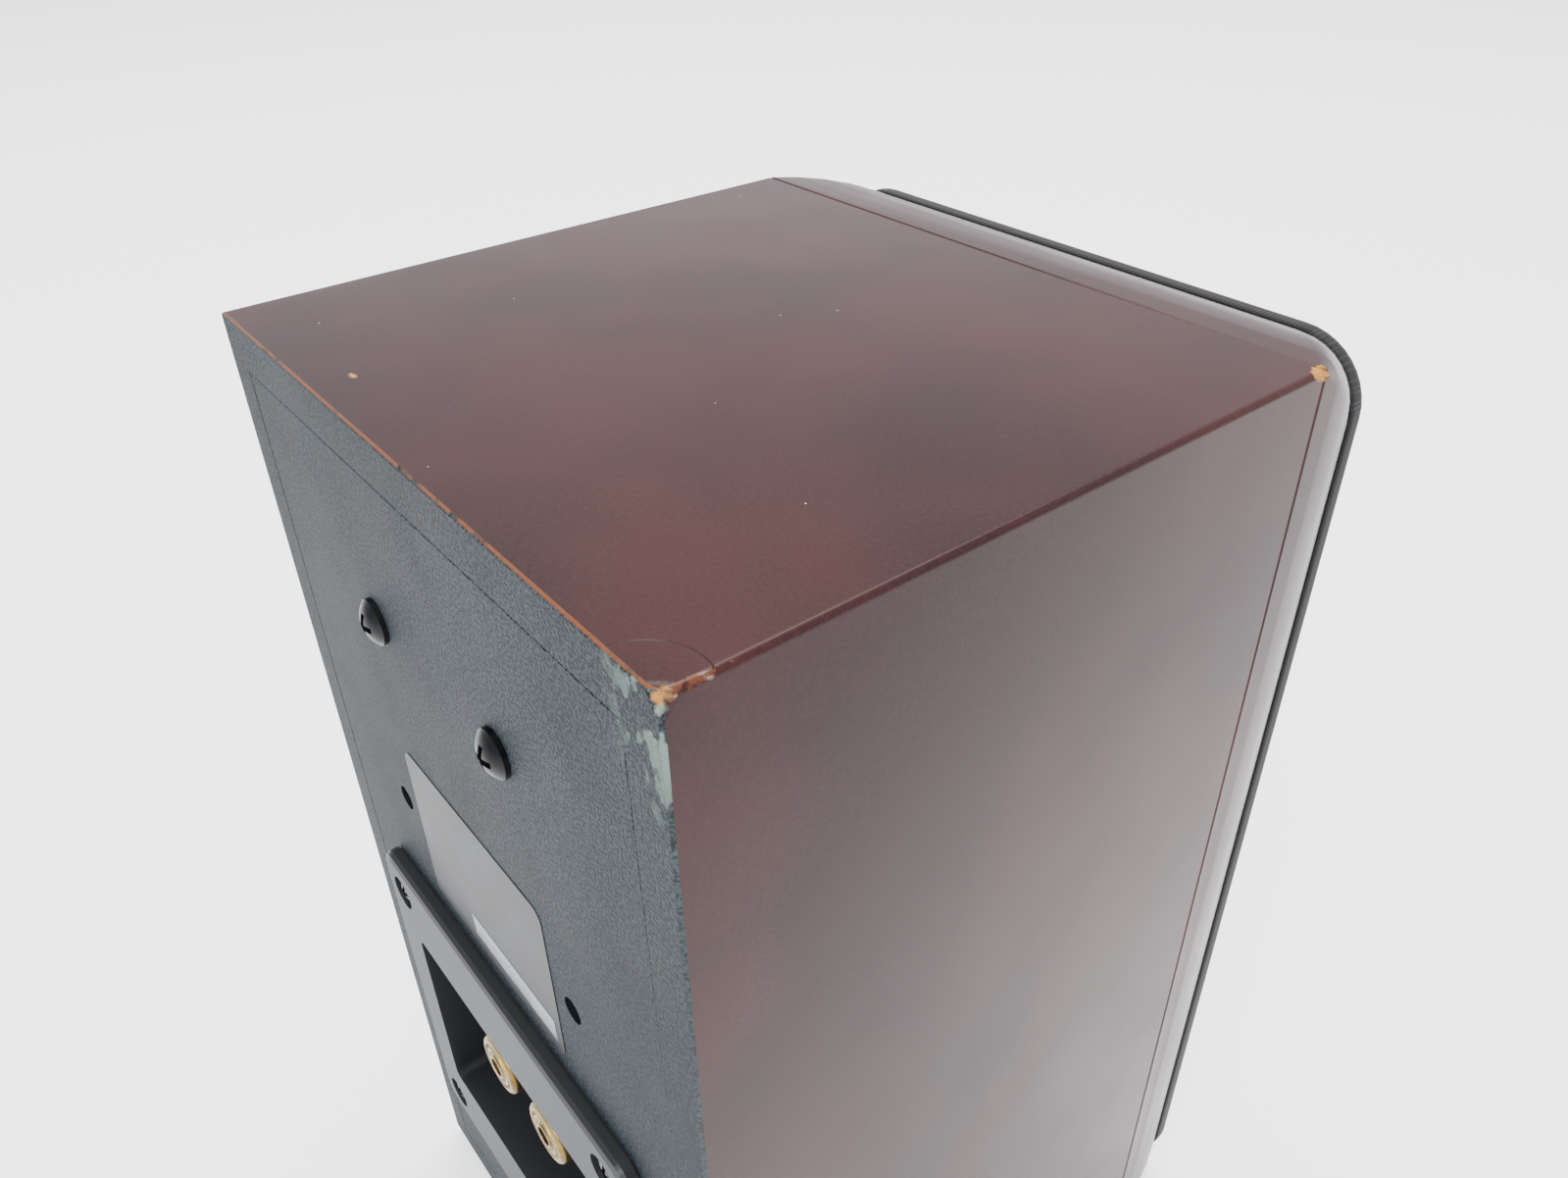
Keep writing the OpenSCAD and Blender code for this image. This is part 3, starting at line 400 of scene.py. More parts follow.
    def lacquer(self, net: Net) -> tuple[bpy.types.NodeSocket, bpy.types.NodeSocket]:
        """The red-brown coat, its wide mottling, fine fleck, dust and orange peel.

        Args:
            net: The material's node tree.

        Returns:
            Its colour and its height.
        """
        mottled = net.ramp(net.grain(self.mottle_mm, 2.0), 0.36, 0.66)
        colour = net.blend(mottled, linear(self.deep), linear(self.warm))
        fleck = net.ramp(net.grain(self.fleck_mm, 3.0), 0.40, 0.66)
        colour = net.blend(net.sum_up("MULTIPLY", fleck, 0.10), colour, linear(self.fleck))
        colour = net.blend(self.specks(net), colour, linear(self.dust))
        return colour, net.grain(2.4, 1.0)

    def specks(self, net: Net) -> bpy.types.NodeSocket:
        """Pale grains of dust, one in every few cells.

        Args:
            net: The material's node tree.

        Returns:
            How much dust shows.
        """
        bent = net.add("MixRGB", {"blend_type": "ADD"}, {
            "Fac": 0.0012, "Color1": net.place(), "Color2": net.add("TexNoise", None, {
                "Vector": net.place(), "Scale": per_metre(2.0),
            }).outputs["Color"],
        })
        cells = net.add("TexVoronoi", None, {
            "Vector": bent.outputs[0], "Scale": per_metre(self.dust_cell_mm),
        })
        near = net.ramp(cells.outputs["Distance"], 0.034, 0.012)
        chosen = net.add("SeparateXYZ", None, {0: cells.outputs["Color"]})
        return net.sum_up("MULTIPLY", near, net.ramp(chosen.outputs["X"], 0.62, 0.66))

    def slate_coat(self, net: Net) -> tuple[bpy.types.NodeSocket, bpy.types.NodeSocket]:
        """The textured paint of the back, with scuffs by the near corner.

        Args:
            net: The material's node tree.

        Returns:
            Its colour and its height.
        """
        pebbles = net.ramp(net.grain(self.pebble_mm, 2.5), 0.38, 0.60)
        cloudy = net.ramp(net.grain(60.0, 2.0), 0.35, 0.7)
        light = net.blend(cloudy, linear(self.slate), linear(self.slate_pale))
        colour = net.blend(pebbles, linear(self.slate_dark), light)
        near = net.ramp(net.distance(self.corner, (1.0, 1.0, 0.5)), 0.013, 0.003)
        broken = net.ramp(net.grain(2.2, 4.0, (1.0, 1.0, 0.6)), 0.50, 0.58)
        scuffed = net.sum_up("MULTIPLY", near, broken)
        return net.blend(scuffed, colour, linear(self.scuff)), pebbles

    def bare(self, net: Net) -> tuple[bpy.types.NodeSocket, bpy.types.NodeSocket]:
        """Where the paint is gone: the near rear corner, its long edge and the corner at the baffle.

        Args:
            net: The material's node tree.

        Returns:
            How bare the board is, and how far the lacquer on the edge has splintered.
        """
        ragged = net.sum_up("MULTIPLY", net.grain(1.3, 3.0), 2.2 * MM)
        corner = net.sum_up("ADD", net.distance(self.corner), ragged)
        corner = net.ramp(corner, (self.corner_chip_mm + 1.6) * MM, (self.corner_chip_mm + 0.9) * MM)
        edge = net.sum_up("ADD", net.distance(self.corner, (1.0, 0.10, 1.0)), ragged)
        edge = net.ramp(edge, 1.85 * MM, 1.6 * MM)
        joint = net.sum_up("ADD", net.distance(self.joint), ragged)
        joint = net.ramp(joint, (self.joint_chip_mm + 1.3) * MM, (self.joint_chip_mm + 0.7) * MM)
        return net.sum_up("MAXIMUM", corner, joint), net.sum_up("SUBTRACT", edge, corner)

    def fibre(self, net: Net) -> bpy.types.NodeSocket:
        """Bare MDF: tan pressed fibre with darker strands."""
        strands = net.ramp(net.grain(0.5, 4.0), 0.4, 0.65)
        return net.blend(strands, linear(self.bare_board), linear(self.bare_strand))


@dataclass(frozen=True)
class MouldedPlastic(Finish):
    """Injection-moulded ABS: an even colour, a fine spark-eroded grain and a soft sheen."""

    colour: str = "#1c1d1f"
    shade_colour: str = "#121314"
    roughness: float = 0.42
    grain_mm: float = 0.4
    grain_depth_mm: float = 0.03

    def shade(self, net: Net) -> None:
        """Even colour, slightly cloudy, under a fine grain.

        Args:
            net: The material's node tree.
        """
        cloudy = net.ramp(net.grain(9.0, 3.0), 0.35, 0.7)
        rubbed = net.ramp(net.grain(4.0, 4.0, (1.0, 3.0, 1.0)), 0.45, 0.75)
        rough = net.add("MapRange", None, {
            "Value": rubbed, "To Min": self.roughness, "To Max": self.roughness + 0.12,
        })
        net.feed(net.surface, {
            "Base Color": net.blend(cloudy, linear(self.colour), linear(self.shade_colour)),
            "Roughness": rough.outputs["Result"],
            "Normal": net.bump(net.grain(self.grain_mm, 1.0), self.grain_depth_mm, 0.5),
            "IOR": 1.53,
        })


@dataclass(frozen=True)
class TerminalPlate(MouldedPlastic):
    """The terminal cup: black ABS whose flat flange face is a little rougher and is painted a satin grey, a
    painted reflection of the pale room, with dust specks.
    """

    seat_y: float = 0.0
    # Painted reflection: the greys that the flange's outward face is painted with, for the pale room it
    # mirrors
    face_painted_sheen: str = "#20262a"
    face_painted_sheen_dark: str = "#191e21"
    fleck: str = "#4d5459"
    # Set below the usual 0.5
    specular: float = 0.2

    def shade(self, net: Net) -> None:
        """Painted reflection: grey on the flange's outward face, black on its shoulder and down in the
        recess.

        Args:
            net: The material's node tree.
        """
        facing = net.add("SeparateXYZ", None, {0: net.add("TexCoord").outputs["Normal"]})
        place = net.add("SeparateXYZ", None, {0: net.place()})
        # Painted reflection: only the proud face that looks straight out is painted grey
        outward = net.ramp(facing.outputs["Y"], 0.93, 0.995)
        proud = net.ramp(place.outputs["Y"], self.seat_y, self.seat_y + 0.5 * MM)
        face = net.sum_up("MULTIPLY", outward, proud)
        cloudy = net.ramp(net.grain(16.0, 3.0), 0.3, 0.75)
        grey = net.blend(cloudy, linear(self.face_painted_sheen), linear(self.face_painted_sheen_dark))
        speckled = net.ramp(net.grain(0.6, 2.0), 0.62, 0.72)
        grey = net.blend(net.sum_up("MULTIPLY", speckled, 0.3), grey, linear(self.fleck))
        net.feed(net.surface, {
            "Base Color": net.blend(face, linear(self.colour), grey),
            "Roughness": net.sum_up("ADD", net.sum_up("MULTIPLY", face, 0.1), self.roughness),
            "Normal": net.bump(net.grain(self.grain_mm, 1.0), self.grain_depth_mm, 0.5),
            "IOR": 1.53, "Specular IOR Level": self.specular,
        })


@dataclass(frozen=True)
class Metal(Finish):
    """A bare, plated or oxidised metal, turned or stamped; metals keep the default IOR."""

    colour: str = "#9a9da0"
    worn: str = "#c9ccd0"
    roughness: float = 0.3
    brushed: Point = (1.0, 1.0, 1.0)
    grain_mm: float = 1.2
    metallic: float = 1.0

    def shade(self, net: Net) -> None:
        """Fine tool marks in the roughness, with tarnish in broad patches.

        Args:
            net: The material's node tree.
        """
        marks = net.grain(self.grain_mm, 3.0, self.brushed)
        tarnish = net.ramp(net.grain(5.0, 3.0), 0.38, 0.68)
        rough = net.add("MapRange", None, {
            "Value": marks, "From Min": 0.3, "From Max": 0.7,
            "To Min": self.roughness * 0.8, "To Max": self.roughness * 1.3,
        })
        net.feed(net.surface, {
            "Base Color": net.blend(tarnish, linear(self.worn), linear(self.colour)),
            "Metallic": self.metallic,
            "Roughness": rough.outputs["Result"],
            "Normal": net.bump(marks, 0.02, 0.4),
        })


@dataclass(frozen=True)
class SoftRubber(Finish):
    """Moulded rubber: deep black that scatters light softly, with a trace of bloom."""

    colour: str = "#17181a"
    bloom: str = "#2b2d30"
    roughness: float = 0.6

    def shade(self, net: Net) -> None:
        """Black with pale bloom in patches.

        Args:
            net: The material's node tree.
        """
        patches = net.ramp(net.grain(6.0, 4.0), 0.42, 0.75)
        net.feed(net.surface, {
            "Base Color": net.blend(patches, linear(self.colour), linear(self.bloom)),
            "Roughness": self.roughness,
            "Normal": net.bump(net.grain(0.8, 2.0), 0.03, 0.4),
            "IOR": 1.52,
        })


@dataclass(frozen=True)
class PrintedFoil(Finish):
    """The rating label: printed polyester foil, satin grey, with a thin outline and no lettering."""

    low: Point = (0.0, 0.0, 0.0)
    high: Point = (0.0, 0.0, 0.0)
    colour: str = "#0f1416"
    pale: str = "#20272a"
    ink: str = "#050607"
    line_mm: float = 0.45
    margin_mm: float = 1.3
    roughness: float = 0.4
    # Set below the usual 0.5
    specular: float = 0.12

    def shade(self, net: Net) -> None:
        """Grey foil, a dark outline just inside its edge, and faint handling marks.

        Args:
            net: The material's node tree.
        """
        place = net.add("SeparateXYZ", None, {0: net.place()})
        to_edge = None
        for axis, name in ((0, "X"), (2, "Z")):
            middle = (self.low[axis] + self.high[axis]) / 2
            half = (self.high[axis] - self.low[axis]) / 2
            offset = net.sum_up("ABSOLUTE", net.sum_up("SUBTRACT", place.outputs[name], middle), 0.0)
            gap = net.sum_up("SUBTRACT", half, offset)
            to_edge = gap if to_edge is None else net.sum_up("MINIMUM", to_edge, gap)
        off_line = net.sum_up("ABSOLUTE", net.sum_up("SUBTRACT", to_edge, self.margin_mm * MM), 0.0)
        line = net.ramp(off_line, self.line_mm * 0.6 * MM, self.line_mm * 0.4 * MM)
        handled = net.ramp(net.grain(11.0, 4.0), 0.35, 0.7)
        colour = net.blend(handled, linear(self.colour), linear(self.pale))
        net.feed(net.surface, {
            "Base Color": net.blend(line, colour, linear(self.ink)),
            "Roughness": self.roughness,
            "Normal": net.bump(net.grain(7.0, 2.0), 0.05, 0.4),
            "IOR": 1.57, "Specular IOR Level": self.specular,
        })


@dataclass(frozen=True)
class WovenCloth(Finish):
    """A fine woven or pressed cloth: threads cross in the bump, with a soft sheen."""

    colour: str = "#101113"
    dark: str = "#050506"
    dusty: str = "#1d1e21"
    # Real threads are 0.3 mm apart; they are drawn at 0.8 mm so that the weave shows
    thread_mm: float = 0.8
    roughness: float = 0.85
    sheen: float = 0.08
    # Set below the usual 0.5
    specular: float = 0.2

    def shade(self, net: Net) -> None:
        """Threads along two directions, darker between them.

        Args:
            net: The material's node tree.
        """
        waves = [
            net.add("TexWave", {"wave_type": "BANDS", "bands_direction": direction}, {
                "Vector": net.place(), "Scale": per_metre(self.thread_mm) * math.pi / 10, "Distortion": 0.6,
                "Detail": 1.0, "Detail Scale": 2.0,
            }).outputs["Fac"]
            for direction in ("X", "Z")
        ]
        weave = net.sum_up("MULTIPLY", waves[0], waves[1])
        worn = net.ramp(net.grain(25.0, 3.0), 0.3, 0.7)
        pale = net.blend(net.sum_up("MULTIPLY", worn, 0.4), linear(self.colour), linear(self.dusty))
        net.feed(net.surface, {
            "Base Color": net.blend(net.ramp(weave, 0.05, 0.6), linear(self.dark), pale),
            "Roughness": self.roughness,
            "Sheen Weight": self.sheen,
            "Normal": net.bump(weave, 0.12, 0.8),
            "IOR": 1.5, "Specular IOR Level": self.specular,
        })


@dataclass(frozen=True)
class PaperPulp(Finish):
    """Pressed paper pulp, coated: matt blue-black with long fibres in it."""

    colour: str = "#1b1e22"
    fibre: str = "#33383e"
    roughness: float = 0.62

    def shade(self, net: Net) -> None:
        """Fibres a few millimetres long, a little paler than the pulp.

        Args:
            net: The material's node tree.
        """
        strands = net.ramp(net.grain(0.8, 5.0, (1.0, 1.0, 0.35)), 0.52, 0.7)
        net.feed(net.surface, {
            "Base Color": net.blend(strands, linear(self.colour), linear(self.fibre)),
            "Roughness": self.roughness,
            "Normal": net.bump(net.grain(0.7, 4.0), 0.08, 0.6),
            "IOR": 1.5,
        })


@dataclass(frozen=True)
class Mineral(Finish):
    """Something fired, pressed or moulded with a sandy grain: ferrite, ceramic, resin or fibre."""

    colour: str = "#4a4a4c"
    grain_colour: str = "#333335"
    grain_mm: float = 0.9
    roughness: float = 0.55
    depth_mm: float = 0.05

    def shade(self, net: Net) -> None:
        """Two close shades mixed by the grain.

        Args:
            net: The material's node tree.
        """
        sandy = net.ramp(net.grain(self.grain_mm, 3.0), 0.36, 0.66)
        net.feed(net.surface, {
            "Base Color": net.blend(sandy, linear(self.colour), linear(self.grain_colour)),
            "Roughness": self.roughness,
            "Normal": net.bump(sandy, self.depth_mm, 0.6),
            "IOR": 1.5,
        })


# Finishes that more than one sub-assembly wears
BLACKENED_SCREWS = Metal("blackened_steel_screws", "#0c0d0e", "#1b1c1e", 0.34, metallic=0.8)
MAGNET_STEEL = Metal("zinc_plated_low_carbon_steel", "#8d9194", "#b6babd", 0.35)
FERRITE = Mineral("sintered_ferrite", "#3c3c3f", "#2a2a2c")
COPPER_COIL = Metal("wound_copper_coil", "#a4562a", "#c97c47", 0.35, (1.0, 8.0, 1.0))


# ---------- mesh helpers ----------


def new_piece(name: str, mesh: bmesh.types.BMesh, smooth_angle: float = 35.0) -> bpy.types.Object:
    """Turn a bmesh into an object in the scene, shaded smooth up to an angle.

    Args:
        name: The piece's name.
        mesh: The geometry; it is freed.
        smooth_angle: Edges sharper than this many degrees stay sharp.

    Returns:
        The new object.
    """
    bmesh.ops.recalc_face_normals(mesh, faces=mesh.faces)
    for edge in mesh.edges:
        bend = edge.calc_face_angle(0.0)
        edge.smooth = bend < math.radians(smooth_angle)
    for face in mesh.faces:
        face.smooth = True
    data = bpy.data.meshes.new(name)
    mesh.to_mesh(data)
    mesh.free()
    piece = bpy.data.objects.new(name, data)
    bpy.context.scene.collection.objects.link(piece)
    return piece


def rounded_outline(half_w: float, half_h: float, radius: float) -> list[tuple[float, float]]:
    """Points round a rectangle with round corners, starting at its upper right.

    Args:
        half_w: Half its width.
        half_h: Half its height.
        radius: Radius of its corners.

    Returns:
        The points in order.
    """
    points = []
    for quarter in range(4):
        side_x = 1 if quarter in (0, 3) else -1
        side_y = 1 if quarter in (0, 1) else -1
        for step in range(CORNER_SPANS + 1):
            angle = math.radians(90 * (quarter + step / CORNER_SPANS))
            points.append((
                side_x * (half_w - radius) + radius * math.cos(angle),
                side_y * (half_h - radius) + radius * math.sin(angle),
            ))
    return points


def join_loops(mesh: bmesh.types.BMesh, loops: Sequence[Sequence[bmesh.types.BMVert]]) -> None:
    """Skin a row of vertex loops, each closed on itself, with quads.

    Args:
        mesh: The mesh that holds the vertices.
        loops: Loops of the same length, in order.
    """
    for near, far in zip(loops, loops[1:]):
        count = len(near)
        for i in range(count):
            j = (i + 1) % count
            mesh.faces.new((near[i], near[j], far[j], far[i]))


def cad(*names: str) -> list[bpy.types.Object]:
    """The CAD objects of these nodes."""
    return [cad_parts[name] for name in names]


def middle(node: str) -> Vector:
    """The middle of a CAD node's box."""
    low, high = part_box(node)
    return (low + high) / 2


# ---------- sub-assemblies ----------


@dataclass
class Cabinet:
    """The mitred cabinet: four boards, back panel, baffle and feet, with knocked corners."""

    grid_mm: float = 0.55
    corner_reach_mm: float = 8.0
    corner_cut_mm: float = 1.5
    joint_cut_mm: float = 1.3
    joint_reach_mm: float = 6.0
    rough_mm: float = 0.35

    def __post_init__(self) -> None:
        """Work out the two knocked corners from the frame."""
        top_low, top_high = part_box("top_panel")
        baffle_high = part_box("front_baffle")[1]
        self.corner = Vector((top_low.x, top_high.y, top_high.z))
        self.joint = Vector((top_low.x, baffle_high.y, top_high.z))
        self.paint = CabinetPaint(
            "mahogany_lacquer_and_slate_paint_on_mdf", tuple(self.corner), tuple(self.joint),
        )

    def chipped(
        self, node: str, corner: Vector, outward: Vector, reach_mm: float, cut_mm: float,
    ) -> bpy.types.Object:
        """Remodel a CAD node with one corner knocked off.

        Args:
            node: The CAD node that the piece stands for.
            corner: The knocked corner.
            outward: Which way the corner points.
            reach_mm: How far from the corner the mesh is cut fine enough to break.
            cut_mm: How deep the corner is knocked off.

        Returns:
            The new piece.
        """
        mesh = bmesh.new()
        mesh.from_mesh(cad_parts[node].data)
        bmesh.ops.remove_doubles(mesh, verts=mesh.verts, dist=1e-6)
        steps = int(reach_mm / self.grid_mm)
        for axis in range(3):
            inward = Vector((0.0, 0.0, 0.0))
            inward[axis] = -math.copysign(1.0, outward[axis])
            for step in range(1, steps):
                self.slice_near(mesh, corner, corner + inward * step * self.grid_mm * MM, inward, reach_mm)
        direction = outward.normalized()
        for vertex in mesh.verts:
            rough = noise.noise(vertex.co * per_metre(1.4)) + 0.5 * noise.noise(vertex.co * per_metre(0.6))
            keep = -(cut_mm + self.rough_mm * rough) * MM
            past = (vertex.co - corner).dot(direction) - keep
            if past > 0 and (vertex.co - corner).length < reach_mm * MM:
                vertex.co -= direction * past
        piece = new_piece(node + "_worn", mesh, 30.0)
        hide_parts(node)
        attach(piece, Body.CABINET.value)
        return piece

    def slice_near(
        self, mesh: bmesh.types.BMesh, corner: Vector, at: Vector, normal: Vector, reach_mm: float,
    ) -> None:
        """Cut the faces close to a corner along a plane.

        Args:
            mesh: The mesh to cut.
            corner: The corner that has to be fine.
            at: A point on the plane.
            normal: The plane's normal.
            reach_mm: How far from the corner a face still counts as close.
        """
        close = []
        for face in mesh.faces:
            low = Vector([min(v.co[i] for v in face.verts) for i in range(3)])
            high = Vector([max(v.co[i] for v in face.verts) for i in range(3)])
            away = [max(low[i] - corner[i], corner[i] - high[i], 0.0) for i in range(3)]
            if Vector(away).length < reach_mm * MM:
                close.append(face)
        edges = {edge for face in close for edge in face.edges}
        vertices = {vertex for face in close for vertex in face.verts}
        cut = [*vertices, *edges, *close]
        bmesh.ops.bisect_plane(mesh, geom=cut, plane_co=at, plane_no=normal, dist=1e-7)

    def build(self) -> list[str]:
        """Remodel the knocked boards and dress the rest.

        Returns:
            The names of the pieces.
        """
        rear = Vector((-1.0, 1.0, 1.0))
        worn = [
            self.chipped("top_panel", self.corner, rear, self.corner_reach_mm, self.corner_cut_mm),
            self.chipped("left_side_panel", self.corner, rear, self.corner_reach_mm, self.corner_cut_mm),
            self.chipped("front_baffle", self.joint, rear, self.joint_reach_mm, self.joint_cut_mm),
        ]
        plain = cad("bottom_panel", "right_side_panel")
        self.paint.dress(*worn, *plain)
        panel = cad("back_panel")
        # The slate coat runs on into the panel's holes, where the boards show lacquer
        CabinetPaint(
            "slate_paint_on_mdf", tuple(self.corner), tuple(self.joint), worn=False,
            deep="#0a0e10", warm="#12181b", fleck="#1a2226", dust="#293236",
        ).dress(*panel)
        feet = cad("rubber_feet")
        SoftRubber("moulded_neoprene_rubber").dress(*feet)
        wadding = self.wadding()
        return [piece.name for piece in (*worn, *plain, *panel, *feet, wadding)]

    def wadding(self) -> bpy.types.Object:
        """The lumpy block of polyester wadding behind the tweeter, inside its CAD box.

        Returns:
            The new piece.
        """
        low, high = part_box("damping_wadding")
        inset = 1.5 * MM
        size = high - low - Vector((2 * inset,) * 3)
        mesh = bmesh.new()
        bmesh.ops.create_cube(mesh, size=1.0)
        bmesh.ops.subdivide_edges(mesh, edges=mesh.edges, cuts=15, use_grid_fill=True)
        centre = (low + high) / 2
        for vertex in mesh.verts:
            unit_place = vertex.co * 2
            # Corners are pulled in, as loose fibre rounds off
            round_off = 1 - 0.05 * sum(abs(c) ** 6 for c in unit_place) / 3
            spot = Vector([unit_place[i] * size[i] / 2 * round_off for i in range(3)])
            lump = 1 - 0.03 * (1 + noise.noise(spot * per_metre(16.0)))
            vertex.co = centre + spot * lump
        piece = new_piece("wadding_block", mesh, 180.0)
        Mineral("needled_polyester_wadding", "#d8d6cf", "#bdb9b0", 1.5, 0.95, 0.6).dress(piece)
        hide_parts("damping_wadding")
        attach(piece, Body.CABINET.value)
        return piece


@dataclass
class BackFittings:
    """What is fixed to the back: bracket inserts and screws, label, terminal cup and posts."""

    def build(self) -> list[str]:
        """Dress the fittings.

        Returns:
            The names of the pieces.
        """
        gold = Metal("gold_plated_turned_brass", "#5f4d27", "#86703f", 0.32, (1.0, 3.0, 1.0), 0.6)
        low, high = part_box("rating_label")
        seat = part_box("terminal_cup_gasket")[1].y
        groups: list[tuple[Finish, list[bpy.types.Object]]] = [
            (BLACKENED_SCREWS, cad("upper_bracket_screws", "terminal_cup_screws")),
            (gold, cad("upper_bracket_inserts", "lower_bracket_inserts", "positive_post_stud",
                       "negative_post_stud", "positive_clamp_washer", "negative_clamp_washer",
                       "positive_post_knob", "negative_post_knob")),
            (PrintedFoil("printed_polyester_label", tuple(low), tuple(high)), cad("rating_label")),
            (MouldedPlastic("glossy_pale_film", "#667176", "#5b666b", 0.25, 3.0, 0.01), cad("label_stripe")),
            (TerminalPlate("moulded_abs_terminal_plate", "#17181a", seat_y=seat), cad("terminal_cup")),
            (SoftRubber("closed_cell_foam_gasket", "#111213", "#222325", 0.9), cad("terminal_cup_gasket")),
            (MouldedPlastic("red_moulded_nylon", "#8f1d1b", "#76120f", 0.35), cad("positive_post_collar")),
            (MouldedPlastic("black_moulded_nylon"), cad("negative_post_collar")),
            (Metal("nickel_plated_brass"), cad("post_nuts", "solder_lugs")),
        ]
        return dress_groups(groups)


def dress_groups(groups: Iterable[tuple[Finish, list[bpy.types.Object]]]) -> list[str]:
    """Dress groups of pieces, each with its finish.

    Args:
        groups: Pairs of a finish and its pieces.

    Returns:
        The names of all the pieces.
    """
    names = []
    for finish, pieces in groups:
        finish.dress(*pieces)
        names += [piece.name for piece in pieces]
    return names


@dataclass
class Crossover:
    """The crossover board with its parts, and the wiring inside the cabinet."""

    def build(self) -> list[str]:
        """Dress the parts.

        Returns:
            The names of the pieces.
        """
        copper = Metal("enamelled_copper_wire", "#9c4f22", "#c9783f", 0.3, (1.0, 1.0, 6.0), 1.0)
        return dress_groups([
            (Mineral("green_solder_mask_on_glass_fibre", "#23502f", "#1c4227", 1.5, 0.35, 0.02),
             cad("crossover_board")),
            (MouldedPlastic("natural_nylon_spacers", "#ddd8c8", "#c9c3b1", 0.5), cad("board_standoffs")),
            (Metal("zinc_plated_steel"), cad("board_screws")),
            (copper, cad("woofer_inductor", "tweeter_inductor")),
            (MouldedPlastic("taped_polypropylene_film", "#c9a52c", "#a88518", 0.3), cad("film_capacitors")),
            (Mineral("fired_white_ceramic", "#dfdcd4", "#c8c4ba", 0.8, 0.6), cad("power_resistor")),
            (MouldedPlastic("red_pvc_insulation", "#9c1b1b", "#7d1010", 0.4), cad("woofer_leads")),
            (MouldedPlastic("black_pvc_insulation", "#1d1d1f", "#121213", 0.4),
             cad("tweeter_leads", "terminal_leads")),
        ])


@dataclass
class Woofer:
    """The woofer, whose rubber surround is remodelled in sectors between the basket and the cone."""

    # Each sector bends along one straight line, so many narrow ones keep the roll round
    sectors: int = 24
    spans: int = 4
    rubber_mm: float = 0.6
    cone_mm: float = 35.0
    lip_mm: float = 1.6
    roll_in_mm: float = 35.4
    roll_out_mm: float = 42.2
    outer_mm: float = 45.3
    seat_mm: float = 2.6

    def build(self) -> list[str]:
        """Dress the driver and make its surround.

        Returns:
            The names of the pieces.
        """
        names = dress_groups([
            (Mineral("powder_coated_pressed_steel", "#26292d", "#1b1d20", 0.5, 0.5, 0.03),
             cad("woofer_basket")),
            (Mineral("resin_stiffened_cotton", "#b48f3c", "#94722a", 0.6, 0.8), cad("woofer_spider")),
            (MAGNET_STEEL, cad("woofer_top_plate", "woofer_pole_piece")),
            (FERRITE, cad("woofer_magnet")),
            (Metal("tinned_brass_tags", "#a8905e", "#c9bd9a", 0.35), cad("woofer_terminal_tags")),
            (BLACKENED_SCREWS, cad("woofer_screws")),
            (PaperPulp("coated_paper_pulp"), cad("woofer_cone")),
            (PaperPulp("doped_cloth_cap", "#15171a", "#25282c", 0.4), cad("dust_cap")),
            (COPPER_COIL, cad("woofer_voice_coil")),
        ])
        return names + [self.surround_sector(k).name for k in range(self.sectors)]

    def profile(self) -> list[tuple[float, float]]:
        """The surround's section as (radius, height over the seat), outer skin first, in mm."""
        centre = (self.roll_in_mm + self.roll_out_mm) / 2
        roll = (self.roll_out_mm - self.roll_in_mm) / 2
        angles = [math.radians(180 - 15 * step) for step in range(13)]
        thin = roll - self.rubber_mm
        over = [(centre + roll * math.cos(a), self.rubber_mm + thin * math.sin(a)) for a in angles]
        under = [(centre + thin * math.cos(a), thin * math.sin(a)) for a in reversed(angles)]
        inner = self.cone_mm - self.lip_mm
        lip = [(inner, 0.0), (inner, self.rubber_mm)]
        flange = [(self.outer_mm, self.rubber_mm), (self.outer_mm, 0.0)]
        return [*lip, *over, *flange, *under]

    def surround_sector(self, index: int) -> bpy.types.Object:
        """One sector of the half-roll surround, between basket and cone.

        Args:
            index: Which sector, from 0.

        Returns:
            The new piece.
        """
        centre = middle("woofer_basket")
        face_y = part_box("woofer_basket")[0].y
        seat_y = face_y + self.seat_mm * MM
        sweep = 2 * math.pi / self.sectors
        mesh = bmesh.new()
        loops = []
        for step in range(self.spans + 1):
            angle = sweep * (index + step / self.spans)
            loops.append([
                mesh.verts.new((
                    centre.x + radius * MM * math.cos(angle),
                    seat_y - height * MM,
                    centre.z + radius * MM * math.sin(angle),
                ))
                for radius, height in self.profile()
            ])
        join_loops(mesh, loops)
        piece = new_piece(f"surround_sector_{index + 1:02d}", mesh, 60.0)
        SoftRubber("butyl_rubber_roll", "#101011", "#1d1e20", 0.5).dress(piece)
        # A sector's edges lie nearer than its middle along this line, by the cosine of half its sweep
        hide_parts("woofer_surround")
        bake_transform(piece)
        return piece


@dataclass
class Tweeter:
    """The tweeter and the port, both set in the baffle."""

    def build(self) -> list[str]:
        """Dress the parts.

        Returns:
            The names of the pieces.
        """
        return dress_groups([
            (MouldedPlastic("moulded_black_faceplate", "#1a1b1d", "#101112", 0.38),
             cad("tweeter_faceplate")),
            (SoftRubber("doped_silk_roll", "#16171a", "#222428", 0.5), cad("tweeter_surround")),
            (MAGNET_STEEL, cad("tweeter_top_plate", "tweeter_pole_piece")),
            (FERRITE, cad("tweeter_magnet")),
            (BLACKENED_SCREWS, cad("tweeter_screws")),
            (WovenCloth("coated_silk_dome", "#25282d", "#14161a", "#33373d", 0.4, 0.5, 0.1),
             cad("tweeter_dome")),
            (COPPER_COIL, cad("tweeter_voice_coil")),
            (MouldedPlastic("moulded_port_tube", "#161718", "#0e0f10", 0.5), cad("port_tube")),
        ])


